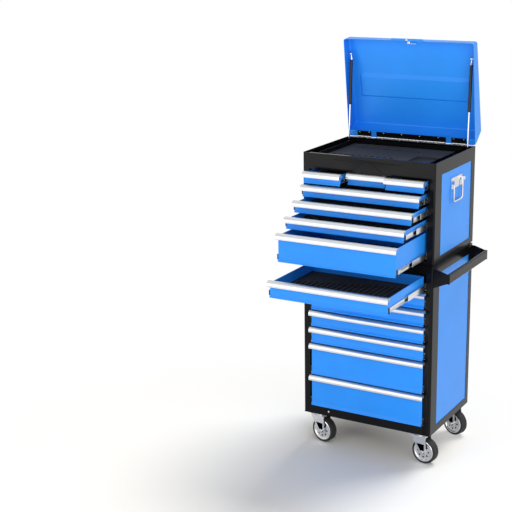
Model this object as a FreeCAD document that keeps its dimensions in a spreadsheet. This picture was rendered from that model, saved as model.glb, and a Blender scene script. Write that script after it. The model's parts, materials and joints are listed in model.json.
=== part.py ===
import FreeCAD, Part
import math
import os
import re

import Sketcher
from FreeCAD import Rotation, Vector

# A tool chest on a rolling cabinet. Built with X to the right, the front plane at Y = 0,
# the floor at Z = 0, and moved at the end so that the origin is under the middle of the whole.

doc = FreeCAD.newDocument("tool_chest_and_cabinet")
sheet = doc.addObject("Spreadsheet::Sheet", "Sizes")

# Driving dimensions in millimetres, angles in degrees.
driving = [
    # both units
    ("unitWide", 670, "outside width of chest and cabinet"),
    ("unitDeep", 490, "outside depth of chest and cabinet"),
    ("frameSheet", 1.5, "sheet of posts, rails and plates"),
    ("panelSheet", 1, "sheet of side and back panels"),
    ("postFace", 34, "front face of a front post"),
    ("frontPostSide", 76, "side face of a front post"),
    ("rearPostFace", 30, "rear face of a rear post"),
    ("cabinetRearSide", 34, "side face of a cabinet rear post"),
    ("chestRearSide", 46, "side face of a chest rear post"),
    ("postRound", 8, "outer bend radius of a front post"),
    ("jambDeep", 26, "return of a front post beside the drawers"),
    ("railDeep", 20, "return of a front rail"),
    ("railLip", 9, "upturned edge of a front rail"),
    ("panelLap", 10, "how far a panel reaches behind its frame"),
    ("uprightAt", 350, "front of the rear slide upright"),
    ("uprightDeep", 34, "depth of the rear slide upright"),
    # rolling cabinet
    ("casterTall", 155, "floor to underside of the cabinet"),
    ("baseRailTall", 41.4, "lowest front rail"),
    ("deepPitch", 164.5, "row height of a deep cabinet drawer"),
    ("shallowPitch", 84.4, "row height of a shallow cabinet drawer"),
    ("headerTall", 41.6, "lock rail above the cabinet drawers"),
    ("cabinetTopBand", 46, "black band above the cabinet side panel"),
    ("cabinetLowBand", 36, "black band below the cabinet side panel"),
    # chest
    ("chestLift", 8, "plinth between cabinet and chest"),
    ("plinthInset", 6, "set back of the plinth"),
    ("plinthWide", 20, "width of a plinth strip"),
    ("chestRailTall", 15, "lowest front rail of the chest"),
    ("chestDeepPitch", 138, "row height of the deep chest drawer"),
    ("chestPitch", 60, "row height of a shallow chest drawer"),
    ("tillTall", 76, "top compartment above the chest drawers"),
    ("chestTopBand", 63, "black band above the chest side panel"),
    ("chestLowBand", 26, "black band below the chest side panel"),
    ("rimWide", 12, "folded rim round the top of the chest"),
    ("tillHalf", 288, "half width of the till tray"),
    ("tillDrop", 8, "till tray edge below the chest top"),
    ("dividerThick", 6, "upright between two small drawers"),
    # drawers
    ("drawerSheet", 1, "sheet of a drawer"),
    ("drawerLong", 400, "depth of a drawer box"),
    ("rowGap", 3, "gap below a drawer front"),
    ("frontInset", 2, "drawer front behind the front plane"),
    ("frontSideGap", 8, "gap beside a drawer front"),
    ("foldTall", 14, "height of the fold along the foot of a front"),
    ("foldReach", 7, "reach of that fold"),
    ("panUnder", 12, "drawer box above the foot of its row"),
    ("panBelowTop", 8, "drawer box edge below the top of its row"),
    ("foamTall", 14, "height of a foam bed in a drawer"),
    ("tillFoamTall", 44, "height of the foam bed in the till tray"),
    ("foamSkin", 0.3, "skin of a foam bed"),
    ("foamClear", 1, "gap between a foam bed and its walls"),
    ("pullReach", 22, "pull in front of the drawer front"),
    ("pullSheet", 2.2, "wall of the pull"),
    ("pullTall", 26, "height of the pull"),
    ("pullFlange", 16, "fixing flange of the pull"),
    ("pullBack", 4, "pull behind the drawer front's face"),
    ("pullClear", 1, "pull below the top of its row"),
    ("pullEndGap", 1, "gap beside the end of a pull"),
    # ball bearing slides
    ("slideTall", 32, "height of a slide's outer member"),
    ("slideThick", 13, "drawer side to slide mounting plane"),
    ("slideSheet", 1.2, "sheet of the slide members"),
    ("slideGap", 1.4, "gap between two members for the balls"),
    ("slideRise", 13, "slide centre above the drawer box's foot"),
    ("slideStart", 5, "slide behind the front plane"),
    ("slideLip", 9, "flange of an outer member"),
    ("smallSlideTall", 22, "height of a small drawer's slide"),
    ("smallSlideThick", 9, "small drawer side to its slide's mounting plane"),
    ("smallLong", 360, "depth of a small drawer box"),
    # how far the drawers stand open
    ("openLeft", 60, "left small drawer"),
    ("openMiddle", 8, "middle small drawer"),
    ("openRight", 35, "right small drawer"),
    ("openStep", 80, "each lower drawer stands this much further out"),
    # lid
    ("lidSheet", 1.2, "sheet of the lid"),
    ("lidFront", 57, "height of the lid at its front"),
    ("lidRear", 90, "height of the lid at its rear"),
    ("lidSlant", 45, "run of the slant behind the lid's top"),
    ("lidHeel", 22, "height of the lid's rear wall"),
    ("lidGap", 1, "gap between the chest and the lid's edge"),
    ("lidOpen", 82.5, "opening angle of the lid"),
    ("pressNear", 309, "far edge of the pressed field from the hinge"),
    ("pressFar", 185, "near edge of the pressed field from the hinge"),
    ("pressHalf", 290, "half width of the pressed field"),
    ("pressDeep", 8, "depth of the pressed field"),
    ("tabHalf", 50, "half width of the finger tab on the lid"),
    ("tabReach", 12, "reach of the finger tab"),
    ("knuckleRound", 3, "radius of the hinge knuckles"),
    ("hingePin", 1.4, "radius of the hinge pin"),
    ("leafWide", 28, "width of a hinge leaf"),
    ("leafSheet", 1.2, "sheet of a hinge leaf"),
    ("shortLeaf", 76, "length of an outer hinge"),
    ("longLeaf", 368, "length of the middle hinge"),
    ("shortLeafAt", 250, "middle of an outer hinge from the centre"),
    ("knuckleLong", 19, "length of one hinge knuckle"),
    ("knuckleGap", 0.4, "gap between two knuckles"),
    # gas struts
    ("strutInset", 23, "strut from the outside of the unit"),
    ("strutLidRun", 409, "upper pivot from the hinge along the lid"),
    ("strutLidDeep", 31, "upper pivot above the lid's edge"),
    ("strutFootBack", 48, "lower pivot in front of the hinge"),
    ("strutFootDrop", 45, "lower pivot below the chest top"),
    ("strutTube", 7.5, "radius of the strut cylinder"),
    ("strutWall", 1.2, "wall of the strut cylinder"),
    ("strutTubeLong", 220, "length of the strut cylinder"),
    ("strutNeck", 28, "upper pivot to the cylinder"),
    ("strutRod", 3.5, "radius of the strut rod"),
    ("strutPiston", 8, "length of the piston"),
    ("strutPistonIn", 24, "piston above the mouth of the cylinder"),
    ("strutEye", 7, "radius of a strut eye"),
    ("strutEyeWide", 8, "width of a strut eye"),
    ("strutPin", 3.5, "radius of a strut pivot pin"),
    ("pinClear", 0.1, "clearance round a turning pin"),
    ("footClear", 1.5, "gap between the lower stud and the strut eye"),
    # locks
    ("lockRound", 9.5, "radius of a lock barrel"),
    ("lockLong", 15, "length of a lock barrel"),
    ("lockHead", 2, "head of a lock barrel in front of its rail"),
    ("lockHeadRound", 12, "radius of that head"),
    ("lockDrop", 25, "cabinet lock below the cabinet top"),
    ("lidLockRise", 26, "lid lock above the lid's edge"),
    ("camWide", 14, "width of a lock cam"),
    ("camSheet", 2.5, "sheet of a lock cam"),
    ("camLong", 28, "length of the cabinet lock's cam"),
    ("lidCamLong", 47, "length of the lid lock's cam"),
    # side handle of the cabinet
    ("gripAt", 72, "grip bar from the side of the cabinet"),
    ("gripTall", 46, "height of the grip bar"),
    ("gripThick", 14, "thickness of the grip bar"),
    ("gripRound", 6, "corner radius of the grip bar"),
    ("gripWall", 1.6, "wall of the grip bar"),
    ("gripDrop", 27, "grip bar below the cabinet top"),
    ("wingRootTall", 90, "height of a handle wing at the cabinet"),
    ("wingRootDrop", 11, "handle wing below the cabinet top"),
    ("wingSheet", 4, "sheet of a handle wing"),
    ("wingFoot", 40, "foot of a handle wing along the cabinet"),
    ("wingFrontAt", 3, "front wing behind the front plane"),
    ("wingRearAt", 3, "rear wing before the rear plane"),
    # bail handles of the chest
    ("bailAt", 260, "middle of a bail from the front plane"),
    ("bailDrop", 103, "bail plate below the chest top"),
    ("bailPlateLong", 136, "length of a bail plate"),
    ("bailPlateTall", 52, "height of a bail plate"),
    ("bailPlateSheet", 2, "sheet of a bail plate"),
    ("bailRod", 4, "radius of the bail"),
    ("bailHalf", 54, "half the span of the bail"),
    ("bailHang", 92, "pivot to the foot of the bail"),
    ("bailBend", 16, "bend radius of the bail"),
    ("bailPivotDrop", 20, "bail pivot below the top of its plate"),
    ("bailProud", 8, "bail centre in front of its plate"),
    ("bailClear", 0.2, "clearance of the bail in its ears"),
    ("earWide", 9, "width of an ear that holds the bail"),
    # casters
    ("wheelRound", 62.5, "radius of a wheel"),
    ("wheelWide", 44, "width of the tread"),
    ("rimRound", 52, "radius of the rim under the tyre"),
    ("rimSheet", 6, "thickness of the rim's web"),
    ("rimBand", 7, "thickness of the rim's outer band"),
    ("hubRound", 15, "radius of the wheel hub"),
    ("hubWide", 48, "width of the wheel hub"),
    ("treadRound", 7, "shoulder radius of the tyre"),
    ("axleRound", 6, "radius of the axle bolt"),
    ("axleHead", 10, "radius of the axle bolt's head"),
    ("axleHeadLong", 7, "length of the axle bolt's head"),
    ("forkSheet", 3.5, "sheet of the fork"),
    ("forkClear", 1.5, "gap between hub and fork"),
    ("forkTop", 76, "length of the fork at its top"),
    ("forkFoot", 36, "length of the fork at the axle"),
    ("casterTrail", 26, "swivel axis to axle"),
    ("mountPlate", 4, "thickness of the caster's plate"),
    ("mountLong", 100, "length of the caster's plate"),
    ("mountWide", 85, "width of the caster's plate"),
    ("boltSpanLong", 80, "bolt spacing along the plate"),
    ("boltSpanWide", 46, "bolt spacing across the plate"),
    ("boltRound", 4, "radius of a plate bolt"),
    ("boltClear", 0.5, "clearance of a plate bolt"),
    ("boltHead", 6.5, "radius of a plate bolt's head"),
    ("boltHeadTall", 5, "height of a plate bolt's head"),
    ("raceRound", 27, "radius of the swivel race"),
    ("raceTall", 12, "height of the swivel race"),
    ("raceGap", 0.5, "gap under the swivel race"),
    ("kingPin", 6, "radius of the swivel's king pin"),
    ("casterInset", 65, "swivel axis from the side of the cabinet"),
    ("casterInsetDeep", 50, "swivel axis from the front or rear"),
    ("turnFrontLeft", -12, "swivel angle of the front left caster"),
    ("turnFrontRight", -8, "swivel angle of the front right caster"),
    ("turnRearRight", -19, "swivel angle of the rear right caster"),
    ("turnRearLeft", -20, "swivel angle of the rear left caster"),
]

# Sizes that follow from the driving ones.
following = [
    ("sideX", "unitWide / 2"),
    ("jambX", "sideX - postFace"),
    ("boxHalf", "jambX - slideThick"),
    ("cabinetTop", "casterTall + baseRailTall + 2 * deepPitch + 5 * shallowPitch + headerTall"),
    ("chestFoot", "cabinetTop + chestLift"),
    ("chestTop", "chestFoot + chestRailTall + chestDeepPitch + 4 * chestPitch + tillTall"),
    ("smallOpening", "(2 * jambX - 2 * dividerThick) / 3"),
    ("hingeZ", "chestTop + knuckleRound"),
    ("strutAt", "sideX - strutInset"),
    ("lidFlangeZ", "hingeZ + knuckleRound"),
    ("lidEdge", "chestTop + lidGap"),
    ("midHalf", "slideTall / 2 - slideSheet - slideGap"),
    ("innerHalf", "midHalf - slideSheet - slideGap"),
    ("gripX", "sideX + gripAt"),
    ("forkTopZ", "casterTall - mountPlate - raceTall - raceGap"),
    ("forkHalf", "hubWide / 2 + forkClear"),
    ("bailX", "sideX - frameSheet + bailPlateSheet + bailProud"),
    ("panelFace", "sideX - frameSheet"),
    ("bailZ", "chestTop - bailDrop - bailPivotDrop"),
]

for row, (name, size, note) in enumerate(driving, 1):
    sheet.set(f"A{row}", name)
    sheet.set(f"B{row}", str(size))
    sheet.setAlias(f"B{row}", name)
    sheet.set(f"C{row}", note)
doc.recompute()
for row, (name, rule) in enumerate(following, len(driving) + 1):
    sheet.set(f"A{row}", name)
    sheet.set(f"B{row}", "=" + rule)
    sheet.setAlias(f"B{row}", name)
    doc.recompute()

words = {name for name, *rest in driving + following}


def cells(rule):
    # The rule with every size word pointing at its cell.
    return re.sub(r"[A-Za-z]\w*", lambda m: "Sizes." + m[0] if m[0] in words else m[0], rule)


def value(rule):
    return float(sheet.evalExpression(cells(rule)))


def place(piece, at):
    for axis, rule in zip("xyz", at):
        if rule != "0":
            piece.setExpression(".Placement.Base." + axis, cells(rule))
    return piece


def box(name, at, size):
    piece = doc.addObject("Part::Box", name)
    for side, rule in zip(("Length", "Width", "Height"), size):
        piece.setExpression(side, cells(rule))
    return place(piece, at)


turns = {"x": Rotation(Vector(0, 1, 0), 90), "y": Rotation(Vector(1, 0, 0), -90), "z": Rotation()}


def cylinder(name, at, radius, length, along="z"):
    piece = doc.addObject("Part::Cylinder", name)
    piece.setExpression("Radius", cells(radius))
    piece.setExpression("Height", cells(length))
    piece.Placement = FreeCAD.Placement(Vector(), turns[along])
    return place(piece, at)


def cut(name, base, *tools):
    for number, tool in enumerate(tools):
        piece = doc.addObject("Part::Cut", name if number == len(tools) - 1 else f"{name}_{number}")
        piece.Base = base
        piece.Tool = tool
        base = piece
    return base


def fuse(name, *pieces):
    piece = doc.addObject("Part::MultiFuse", name)
    piece.Shapes = list(pieces)
    piece.Refine = True
    return piece


def group(name, pieces, at=("0", "0", "0")):
    piece = doc.addObject("Part::Compound", name)
    piece.Links = list(pieces)
    return place(piece, at)


def mirrored(name, source):
    piece = doc.addObject("Part::Mirroring", name)
    piece.Source = source
    piece.Base = Vector(0, 0, 0)
    piece.Normal = Vector(1, 0, 0)
    return piece


def arc_between(start, end, radius, side):
    # Arc from start to end; side is +1 if its centre lies left of the way, -1 if right.
    middle = (start + end) * 0.5
    half = (end - start) * 0.5
    left = Vector(-half.y, half.x, 0).normalize()
    rise = math.sqrt(max(radius ** 2 - half.Length ** 2, 0))
    centre = middle + left * rise * side
    outward = (middle - centre).normalize() if rise > 1e-9 else left * -side
    return Part.Arc(start, centre + outward * radius, end)


def draw(sketch, corners, closed=True):
    # Each corner is (across, up) or (across, up, radius, side) when an arc leads to the next.
    first = sketch.GeometryCount
    spots = [Vector(value(corner[0]), value(corner[1]), 0) for corner in corners]
    last = len(corners) if closed else len(corners) - 1
    for number in range(last):
        start, end = spots[number], spots[(number + 1) % len(spots)]
        corner = corners[number]
        if len(corner) == 4:
            line = arc_between(start, end, value(corner[2]), corner[3])
        else:
            line = Part.LineSegment(start, end)
        sketch.addGeometry(line, False)
    # the end of each line that starts at its corner: an arc may be stored the other way round
    starts = []
    for number in range(last):
        start_is_first = sketch.getPoint(first + number, 1).distanceToPoint(spots[number]) < 1e-4
        starts.append((1, 2) if start_is_first else (2, 1))
    for number in range(last if closed else last - 1):
        follower = (number + 1) % last
        link = (first + number, starts[number][1], first + follower, starts[follower][0])
        sketch.addConstraint(Sketcher.Constraint("Coincident", *link))
    for number, corner in enumerate(corners):
        line = min(number, last - 1)
        end = starts[line][0] if number == line else starts[line][1]
        for kind, axis, rule, spot in (("DistanceX", -2, corner[0], spots[number].x),
                                       ("DistanceY", -1, corner[1], spots[number].y)):
            if rule == "0":
                sketch.addConstraint(Sketcher.Constraint("PointOnObject", first + line, end, axis))
            else:
                datum = sketch.addConstraint(Sketcher.Constraint(kind, -1, 1, first + line, end, spot))
                sketch.setExpression(f"Constraints[{datum}]", cells(rule))
        if len(corner) == 4:
            datum = sketch.addConstraint(Sketcher.Constraint("Radius", first + number, value(corner[2])))
            sketch.setExpression(f"Constraints[{datum}]", cells(corner[2]))


def outline(body, name, plane, corners, *holes):
    sketch = body.newObject("Sketcher::SketchObject", name)
    flat = [feature for feature in body.Origin.OriginFeatures if feature.Role == plane][0]
    sketch.AttachmentSupport = [(flat, "")]
    sketch.MapMode = "FlatFace"
    draw(sketch, corners)
    for hole in holes:
        draw(sketch, hole)
    return sketch


def padded(name, plane, corners, length, at=("0", "0", "0"), holes=()):
    # A profile pushed out along +Z, +Y or +X of the planes XY, XZ and YZ.
    body = doc.addObject("PartDesign::Body", name)
    sketch = outline(body, name + "_outline", plane, corners, *holes)
    pad = body.newObject("PartDesign::Pad", name + "_pad")
    pad.Profile = sketch
    pad.setExpression("Length", cells(length))
    pad.Reversed = plane == "XZ_Plane"
    return place(body, at)


def turned(name, plane, corners, axis, at=("0", "0", "0")):
    # A profile spun round the sketch's horizontal or vertical axis.
    body = doc.addObject("PartDesign::Body", name)
    sketch = outline(body, name + "_outline", plane, corners)
    spin = body.newObject("PartDesign::Revolution", name + "_spin")
    spin.Profile = sketch
    spin.ReferenceAxis = (sketch, [axis])
    spin.Angle = 360
    return place(body, at)


nodes = []


def node(name, pieces):
    # One named sub-part: its separate solids, kept together.
    piece = group(name, pieces)
    piece.Label = name
    nodes.append(piece)
    return piece


# Frame members, drawn for the right side and mirrored for the left.

def front_post(name, foot, tall):
    corners = [
        ("jambX", "jambDeep"), ("jambX", "0"), ("sideX - postRound", "0", "postRound", 1),
        ("sideX", "postRound"), ("sideX", "frontPostSide"), ("sideX - frameSheet", "frontPostSide"),
        ("sideX - frameSheet", "postRound", "postRound - frameSheet", -1),
        ("sideX - postRound", "frameSheet"), ("jambX + frameSheet", "frameSheet"),
        ("jambX + frameSheet", "jambDeep"),
    ]
    return padded(name, "XY_Plane", corners, tall, ("0", "0", foot))


def rear_post(name, foot, tall, side):
    corners = [
        ("sideX", f"unitDeep - {side}"), ("sideX", "unitDeep"), ("sideX - rearPostFace", "unitDeep"),
        ("sideX - rearPostFace", "unitDeep - frameSheet"), ("sideX - frameSheet", "unitDeep - frameSheet"),
        ("sideX - frameSheet", f"unitDeep - {side}"),
    ]
    return padded(name, "XY_Plane", corners, tall, ("0", "0", foot))


def slide_upright(name, foot, tall):
    back = "uprightAt + uprightDeep"
    corners = [
        ("jambX", "uprightAt"), ("panelFace - panelSheet", "uprightAt"),
        ("panelFace - panelSheet", "uprightAt + frameSheet"), ("jambX + frameSheet", "uprightAt + frameSheet"),
        ("jambX + frameSheet", back + " - frameSheet"), ("panelFace - panelSheet", back + " - frameSheet"),
        ("panelFace - panelSheet", back), ("jambX", back),
    ]
    return padded(name, "XY_Plane", corners, tall, ("0", "0", foot))


def front_rail(name, foot, top):
    # A folded rail: its face in front, a return at foot and top, and a lip on the lower return.
    face = "frameSheet"
    corners = [
        ("0", foot), ("railDeep", foot), ("railDeep", foot + " + railLip"),
        ("railDeep - frameSheet", foot + " + railLip"), ("railDeep - frameSheet", foot + " + frameSheet"),
        (face, foot + " + frameSheet"), (face, top + " - frameSheet"),
        ("rimWide", top + " - frameSheet"), ("rimWide", top), ("0", top),
    ]
    return padded(name, "YZ_Plane", corners, "2 * jambX", ("-jambX", "0", "0"))


def pair(piece):
    return [piece, mirrored(piece.Name + "_left", piece)]


def unit_frame(unit, foot, top, rear_side, low_band, top_band, low_rail, header):
    # Posts, rails and bands of one unit, between its lower and upper plates.
    inside = f"{foot} + frameSheet"
    tall = f"{top} - {foot} - 2 * frameSheet"
    span = f"unitDeep - frontPostSide - {rear_side}"
    pieces = pair(front_post(f"{unit}_front_post", inside, tall))
    pieces += pair(rear_post(f"{unit}_rear_post", inside, tall, rear_side))
    pieces += pair(slide_upright(f"{unit}_slide_upright", inside, f"{top} - {header} - {foot} - frameSheet"))
    pieces.append(front_rail(f"{unit}_low_rail", inside, f"{foot} + {low_rail}"))
    pieces.append(front_rail(f"{unit}_header_rail", f"{top} - {header}", f"{top} - frameSheet"))
    for level, start, band in (("low", inside, f"{low_band} - frameSheet"),
                               ("top", f"{top} - {top_band}", f"{top_band} - frameSheet")):
        strip = box(f"{unit}_{level}_band", ("panelFace", "frontPostSide", start), ("frameSheet", span, band))
        pieces += pair(strip)
        rear_at = ("-(sideX - rearPostFace)", "unitDeep - frameSheet", start)
        rear_size = ("2 * (sideX - rearPostFace)", "frameSheet", band)
        pieces.append(box(f"{unit}_{level}_rear_band", rear_at, rear_size))
    return pieces


def unit_panels(unit, foot, top, rear_side, low_band, top_band, seat):
    # Side and back panels, which stand just behind the frame and reach past its edges.
    low = f"{foot} + {low_band} - panelLap"
    tall = f"{top} - {top_band} + panelLap - ({low})"
    deep = f"unitDeep - frontPostSide - {rear_side} + 2 * panelLap"
    side_at = ("panelFace - panelSheet", "frontPostSide - panelLap", low)
    side = box(f"{unit}_side_panel", side_at, ("panelSheet", deep, tall))
    back_half = "sideX - rearPostFace + panelLap"
    back_at = (f"-({back_half})", "unitDeep - frameSheet - panelSheet", low)
    back = box(f"{unit}_back_panel", back_at, (f"2 * ({back_half})", "panelSheet", tall))
    return pair(side) + [back]


def plate(name, z):
    return box(name, ("-sideX", "0", z), ("unitWide", "unitDeep", "frameSheet"))


def caster_spots():
    across = "(sideX - casterInset)"
    near = "casterInsetDeep"
    far = "unitDeep - casterInsetDeep"
    return [("front_left", f"-{across}", near, "turnFrontLeft"),
            ("front_right", across, near, "turnFrontRight"),
            ("rear_right", across, far, "turnRearRight"),
            ("rear_left", f"-{across}", far, "turnRearLeft")]


def bolt_spots():
    return [(f"{a} * boltSpanLong / 2", f"{b} * boltSpanWide / 2") for a in (-1, 1) for b in (-1, 1)]


def cabinet_frame():
    pieces = unit_frame("cabinet", "casterTall", "cabinetTop", "cabinetRearSide",
                        "cabinetLowBand", "cabinetTopBand", "baseRailTall", "headerTall")
    header = next(piece for piece in pieces if piece.Name == "cabinet_header_rail")
    lock_at = ("0", "-lockHeadRound", "cabinetTop - lockDrop")
    lock_hole = cylinder("cabinet_lock_hole", lock_at, "lockRound + pinClear", "2 * lockHeadRound", "y")
    pieces[pieces.index(header)] = cut("cabinet_header_bored", header, lock_hole)
    drills = []
    for corner, x, y, turn in caster_spots():
        for number, (dx, dy) in enumerate(bolt_spots()):
            at = (f"{x} + {dx}", f"{y} + {dy}", "casterTall - mountPlate")
            drills.append(cylinder(f"drill_{corner}_{number}", at, "boltRound + boltClear", "3 * mountPlate"))
    base = cut("cabinet_base_bored", plate("cabinet_base", "casterTall"), group("base_drills", drills))
    pieces.append(base)
    pieces.append(plate("cabinet_top", "cabinetTop - frameSheet"))
    return node("cabinet_frame", pieces)


def chest_frame():
    pieces = unit_frame("chest", "chestFoot", "chestTop + frameSheet", "chestRearSide",
                        "chestLowBand", "(chestTopBand + frameSheet)", "chestRailTall", "(tillTall + frameSheet)")
    pieces.append(plate("chest_base", "chestFoot"))
    # the rim that the lid closes on
    rear_rim = ("-panelFace", "unitDeep - frameSheet - leafWide", "chestTop - frameSheet")
    pieces.append(box("chest_rear_rim", rear_rim, ("2 * panelFace", "leafWide", "frameSheet")))
    # strips that carry the chest on the cabinet
    deep = "unitDeep - 2 * plinthInset"
    wide = "unitWide - 2 * plinthInset"
    side = box("plinth_side", ("sideX - plinthInset - plinthWide", "plinthInset", "cabinetTop"),
               ("plinthWide", deep, "chestLift"))
    pieces += pair(side)
    for name, y in (("front", "plinthInset"), ("rear", "unitDeep - plinthInset - plinthWide")):
        at = ("-sideX + plinthInset + plinthWide", y, "cabinetTop")
        pieces.append(box(f"plinth_{name}", at, (f"{wide} - 2 * plinthWide", "plinthWide", "chestLift")))
    # uprights between the small drawers
    tall = "chestPitch - rowGap"
    for number, at in enumerate(("smallOpening / 2", "-smallOpening / 2 - dividerThick")):
        low = "chestTop - tillTall - chestPitch + rowGap"
        size = ("dividerThick", "slideStart + smallLong + panelLap", tall)
        pieces.append(box(f"small_divider_{number}", (at, "slideStart", low), size))
    return node("chest_frame", pieces)


def side_and_back_panels():
    pieces = unit_panels("cabinet", "casterTall", "cabinetTop", "cabinetRearSide",
                         "cabinetLowBand", "cabinetTopBand", "0")
    return node("cabinet_panels", pieces)


def chest_panels():
    pieces = unit_panels("chest", "chestFoot", "chestTop", "chestRearSide", "chestLowBand", "chestTopBand", "0")
    return node("chest_panels", pieces + bail_plates())


def foam_bed(name, at, size):
    # Foam is far lighter than the steel it lies on, so its bed is a thin cap with the mass of the foam.
    x, y, z = at
    long, deep, tall = size
    block = box(name + "_foam_block", at, size)
    core = box(name + "_foam_core", (f"{x} + foamSkin", f"{y} + foamSkin", z),
               (f"{long} - 2 * foamSkin", f"{deep} - 2 * foamSkin", f"{tall} - foamSkin"))
    return cut(name + "_foam", block, core)


def till_tray():
    # The open top compartment, with the shelf that carries it on the slide uprights.
    back = "unitDeep - frameSheet - leafWide - foamClear"
    foot = "chestTop - tillTall + frameSheet"
    deep = f"({back} - railDeep)"
    outer = box("till_outer", ("-tillHalf", "railDeep", foot), ("2 * tillHalf", deep, "tillTall - frameSheet - tillDrop"))
    inner = box("till_inner", ("-tillHalf + drawerSheet", "railDeep + drawerSheet", f"{foot} + drawerSheet"),
                ("2 * (tillHalf - drawerSheet)", f"{deep} - 2 * drawerSheet", "tillTall"))
    inset = "drawerSheet + foamClear"
    foam = foam_bed("till", (f"-tillHalf + {inset}", f"railDeep + {inset}", f"{foot} + drawerSheet"),
                    (f"2 * (tillHalf - {inset})", f"{deep} - 2 * ({inset})", "tillFoamTall"))
    shelf = box("till_shelf", ("-(panelFace - panelSheet)", "uprightAt", "chestTop - tillTall"),
                ("2 * (panelFace - panelSheet)", "uprightDeep", "frameSheet"))
    return node("till_tray", [cut("till_shell", outer, inner), foam, shelf])


# Slide members stand beside the plane X = 0 that they are screwed to, and reach towards -X.

def member(name, web_near, web_far, lip, half, length):
    corners = [
        (web_near, f"-({half})"), (web_near, half), (lip, half), (lip, f"{half} - slideSheet"),
        (web_far, f"{half} - slideSheet"), (web_far, f"-({half}) + slideSheet"),
        (lip, f"-({half}) + slideSheet"), (lip, f"-({half})"),
    ]
    return padded(name, "XZ_Plane", corners, length)


def slide_masters():
    outer = member("outer_member", "0", "-slideSheet", "-slideLip", "slideTall / 2", "drawerLong")
    mid_near = "-(slideSheet + slideGap)"
    middle = member("middle_member", mid_near, f"{mid_near} - slideSheet",
                    "-(slideThick - 2 * slideGap)", "midHalf", "drawerLong")
    inner = member("inner_member", "-slideThick", "-slideThick + slideSheet",
                   "-(2 * slideSheet + 2 * slideGap)", "innerHalf", "drawerLong")
    small_outer = member("small_outer_member", "0", "-slideSheet", "-(smallSlideThick - slideGap - slideSheet)",
                         "smallSlideTall / 2", "smallLong")
    small_inner = member("small_inner_member", "-smallSlideThick", "-smallSlideThick + slideSheet",
                         "-(slideSheet + slideGap)", "smallSlideTall / 2 - slideSheet - slideGap", "smallLong")
    masters = {}
    for piece in (outer, middle, inner, small_outer, small_inner):
        masters[piece.Name] = (piece, mirrored(piece.Name + "_left", piece))
    return masters


masters = slide_masters()
fixed_members = []


def slide_pair(name, kind, left, right, y, z):
    # One member of each hand, at the planes X = left and X = right.
    right_one, left_one = masters[kind]
    return [group(name + "_right", [right_one], (right, y, z)), group(name + "_left", [left_one], (left, y, z))]


def drawer_box(name, left, right, foot, tall, long, open_by):
    # A folded pan with a back plate, a front, and a foam bed, in their place in the row.
    face = f"frontInset - ({open_by})"
    start = f"({face} + drawerSheet)"
    wide = f"({right} - ({left}))"
    pan_foot = f"({foot} + panUnder)"
    pan_tall = f"({tall} - panUnder - panBelowTop)"
    corners = [
        (left, f"{pan_foot} + {pan_tall}"), (left, pan_foot), (right, pan_foot),
        (right, f"{pan_foot} + {pan_tall}"), (f"{right} - drawerSheet", f"{pan_foot} + {pan_tall}"),
        (f"{right} - drawerSheet", f"{pan_foot} + drawerSheet"),
        (f"{left} + drawerSheet", f"{pan_foot} + drawerSheet"),
        (f"{left} + drawerSheet", f"{pan_foot} + {pan_tall}"),
    ]
    pan = padded(name + "_pan", "XZ_Plane", corners, long, ("0", start, "0"))
    back = box(name + "_back", (f"{left} + drawerSheet", f"{start} + {long} - drawerSheet", f"{pan_foot} + drawerSheet"),
               (f"{wide} - 2 * drawerSheet", "drawerSheet", f"{pan_tall} - drawerSheet"))
    inset = "(drawerSheet + foamClear)"
    foam = foam_bed(name, (f"{left} + {inset}", f"{start} + foamClear", f"{pan_foot} + drawerSheet"),
                    (f"{wide} - 2 * {inset}", f"{long} - drawerSheet - 2 * foamClear", "foamTall"))
    return [pan, back, foam]


def drawer_front(name, left, right, foot, top, open_by):
    # A flat face with a fold along its foot that leans outwards.
    low = f"{foot} + rowGap"
    corners = [
        ("drawerSheet", f"{top} - pullClear - pullSheet"), ("0", f"{top} - pullClear - pullSheet"),
        ("0", f"{low} + foldTall"),
        ("-foldReach", f"{low} + foldTall / 3"), ("-foldReach", low), ("-foldReach + drawerSheet", low),
        ("-foldReach + drawerSheet", f"{low} + foldTall / 3 - drawerSheet / 2"),
        ("drawerSheet", f"{low} + foldTall - drawerSheet"),
    ]
    return padded(name, "YZ_Plane", corners, f"({right}) - ({left})", (left, f"frontInset - ({open_by})", "0"))


def drawer_pull(name, left, right, top, open_by):
    # A quarter round that covers the top of the front, open below for the fingers.
    bend = "pullReach - pullSheet"
    top = f"{top} - pullClear"
    corners = [
        ("pullBack", top), ("-pullSheet", top, bend, 1), ("-pullReach", f"{top} - ({bend})"),
        ("-pullReach", f"{top} - pullTall"), ("-pullReach + pullSheet", f"{top} - pullTall"),
        ("-pullReach + pullSheet", f"{top} - ({bend})", f"{bend} - pullSheet", -1),
        ("-pullSheet", f"{top} - pullSheet"), ("-pullSheet", f"{top} - pullFlange"),
        ("0", f"{top} - pullFlange"), ("0", f"{top} - pullSheet"), ("pullBack", f"{top} - pullSheet"),
    ]
    return padded(name, "YZ_Plane", corners, f"({right}) - ({left})", (left, f"frontInset - ({open_by})", "0"))


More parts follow.
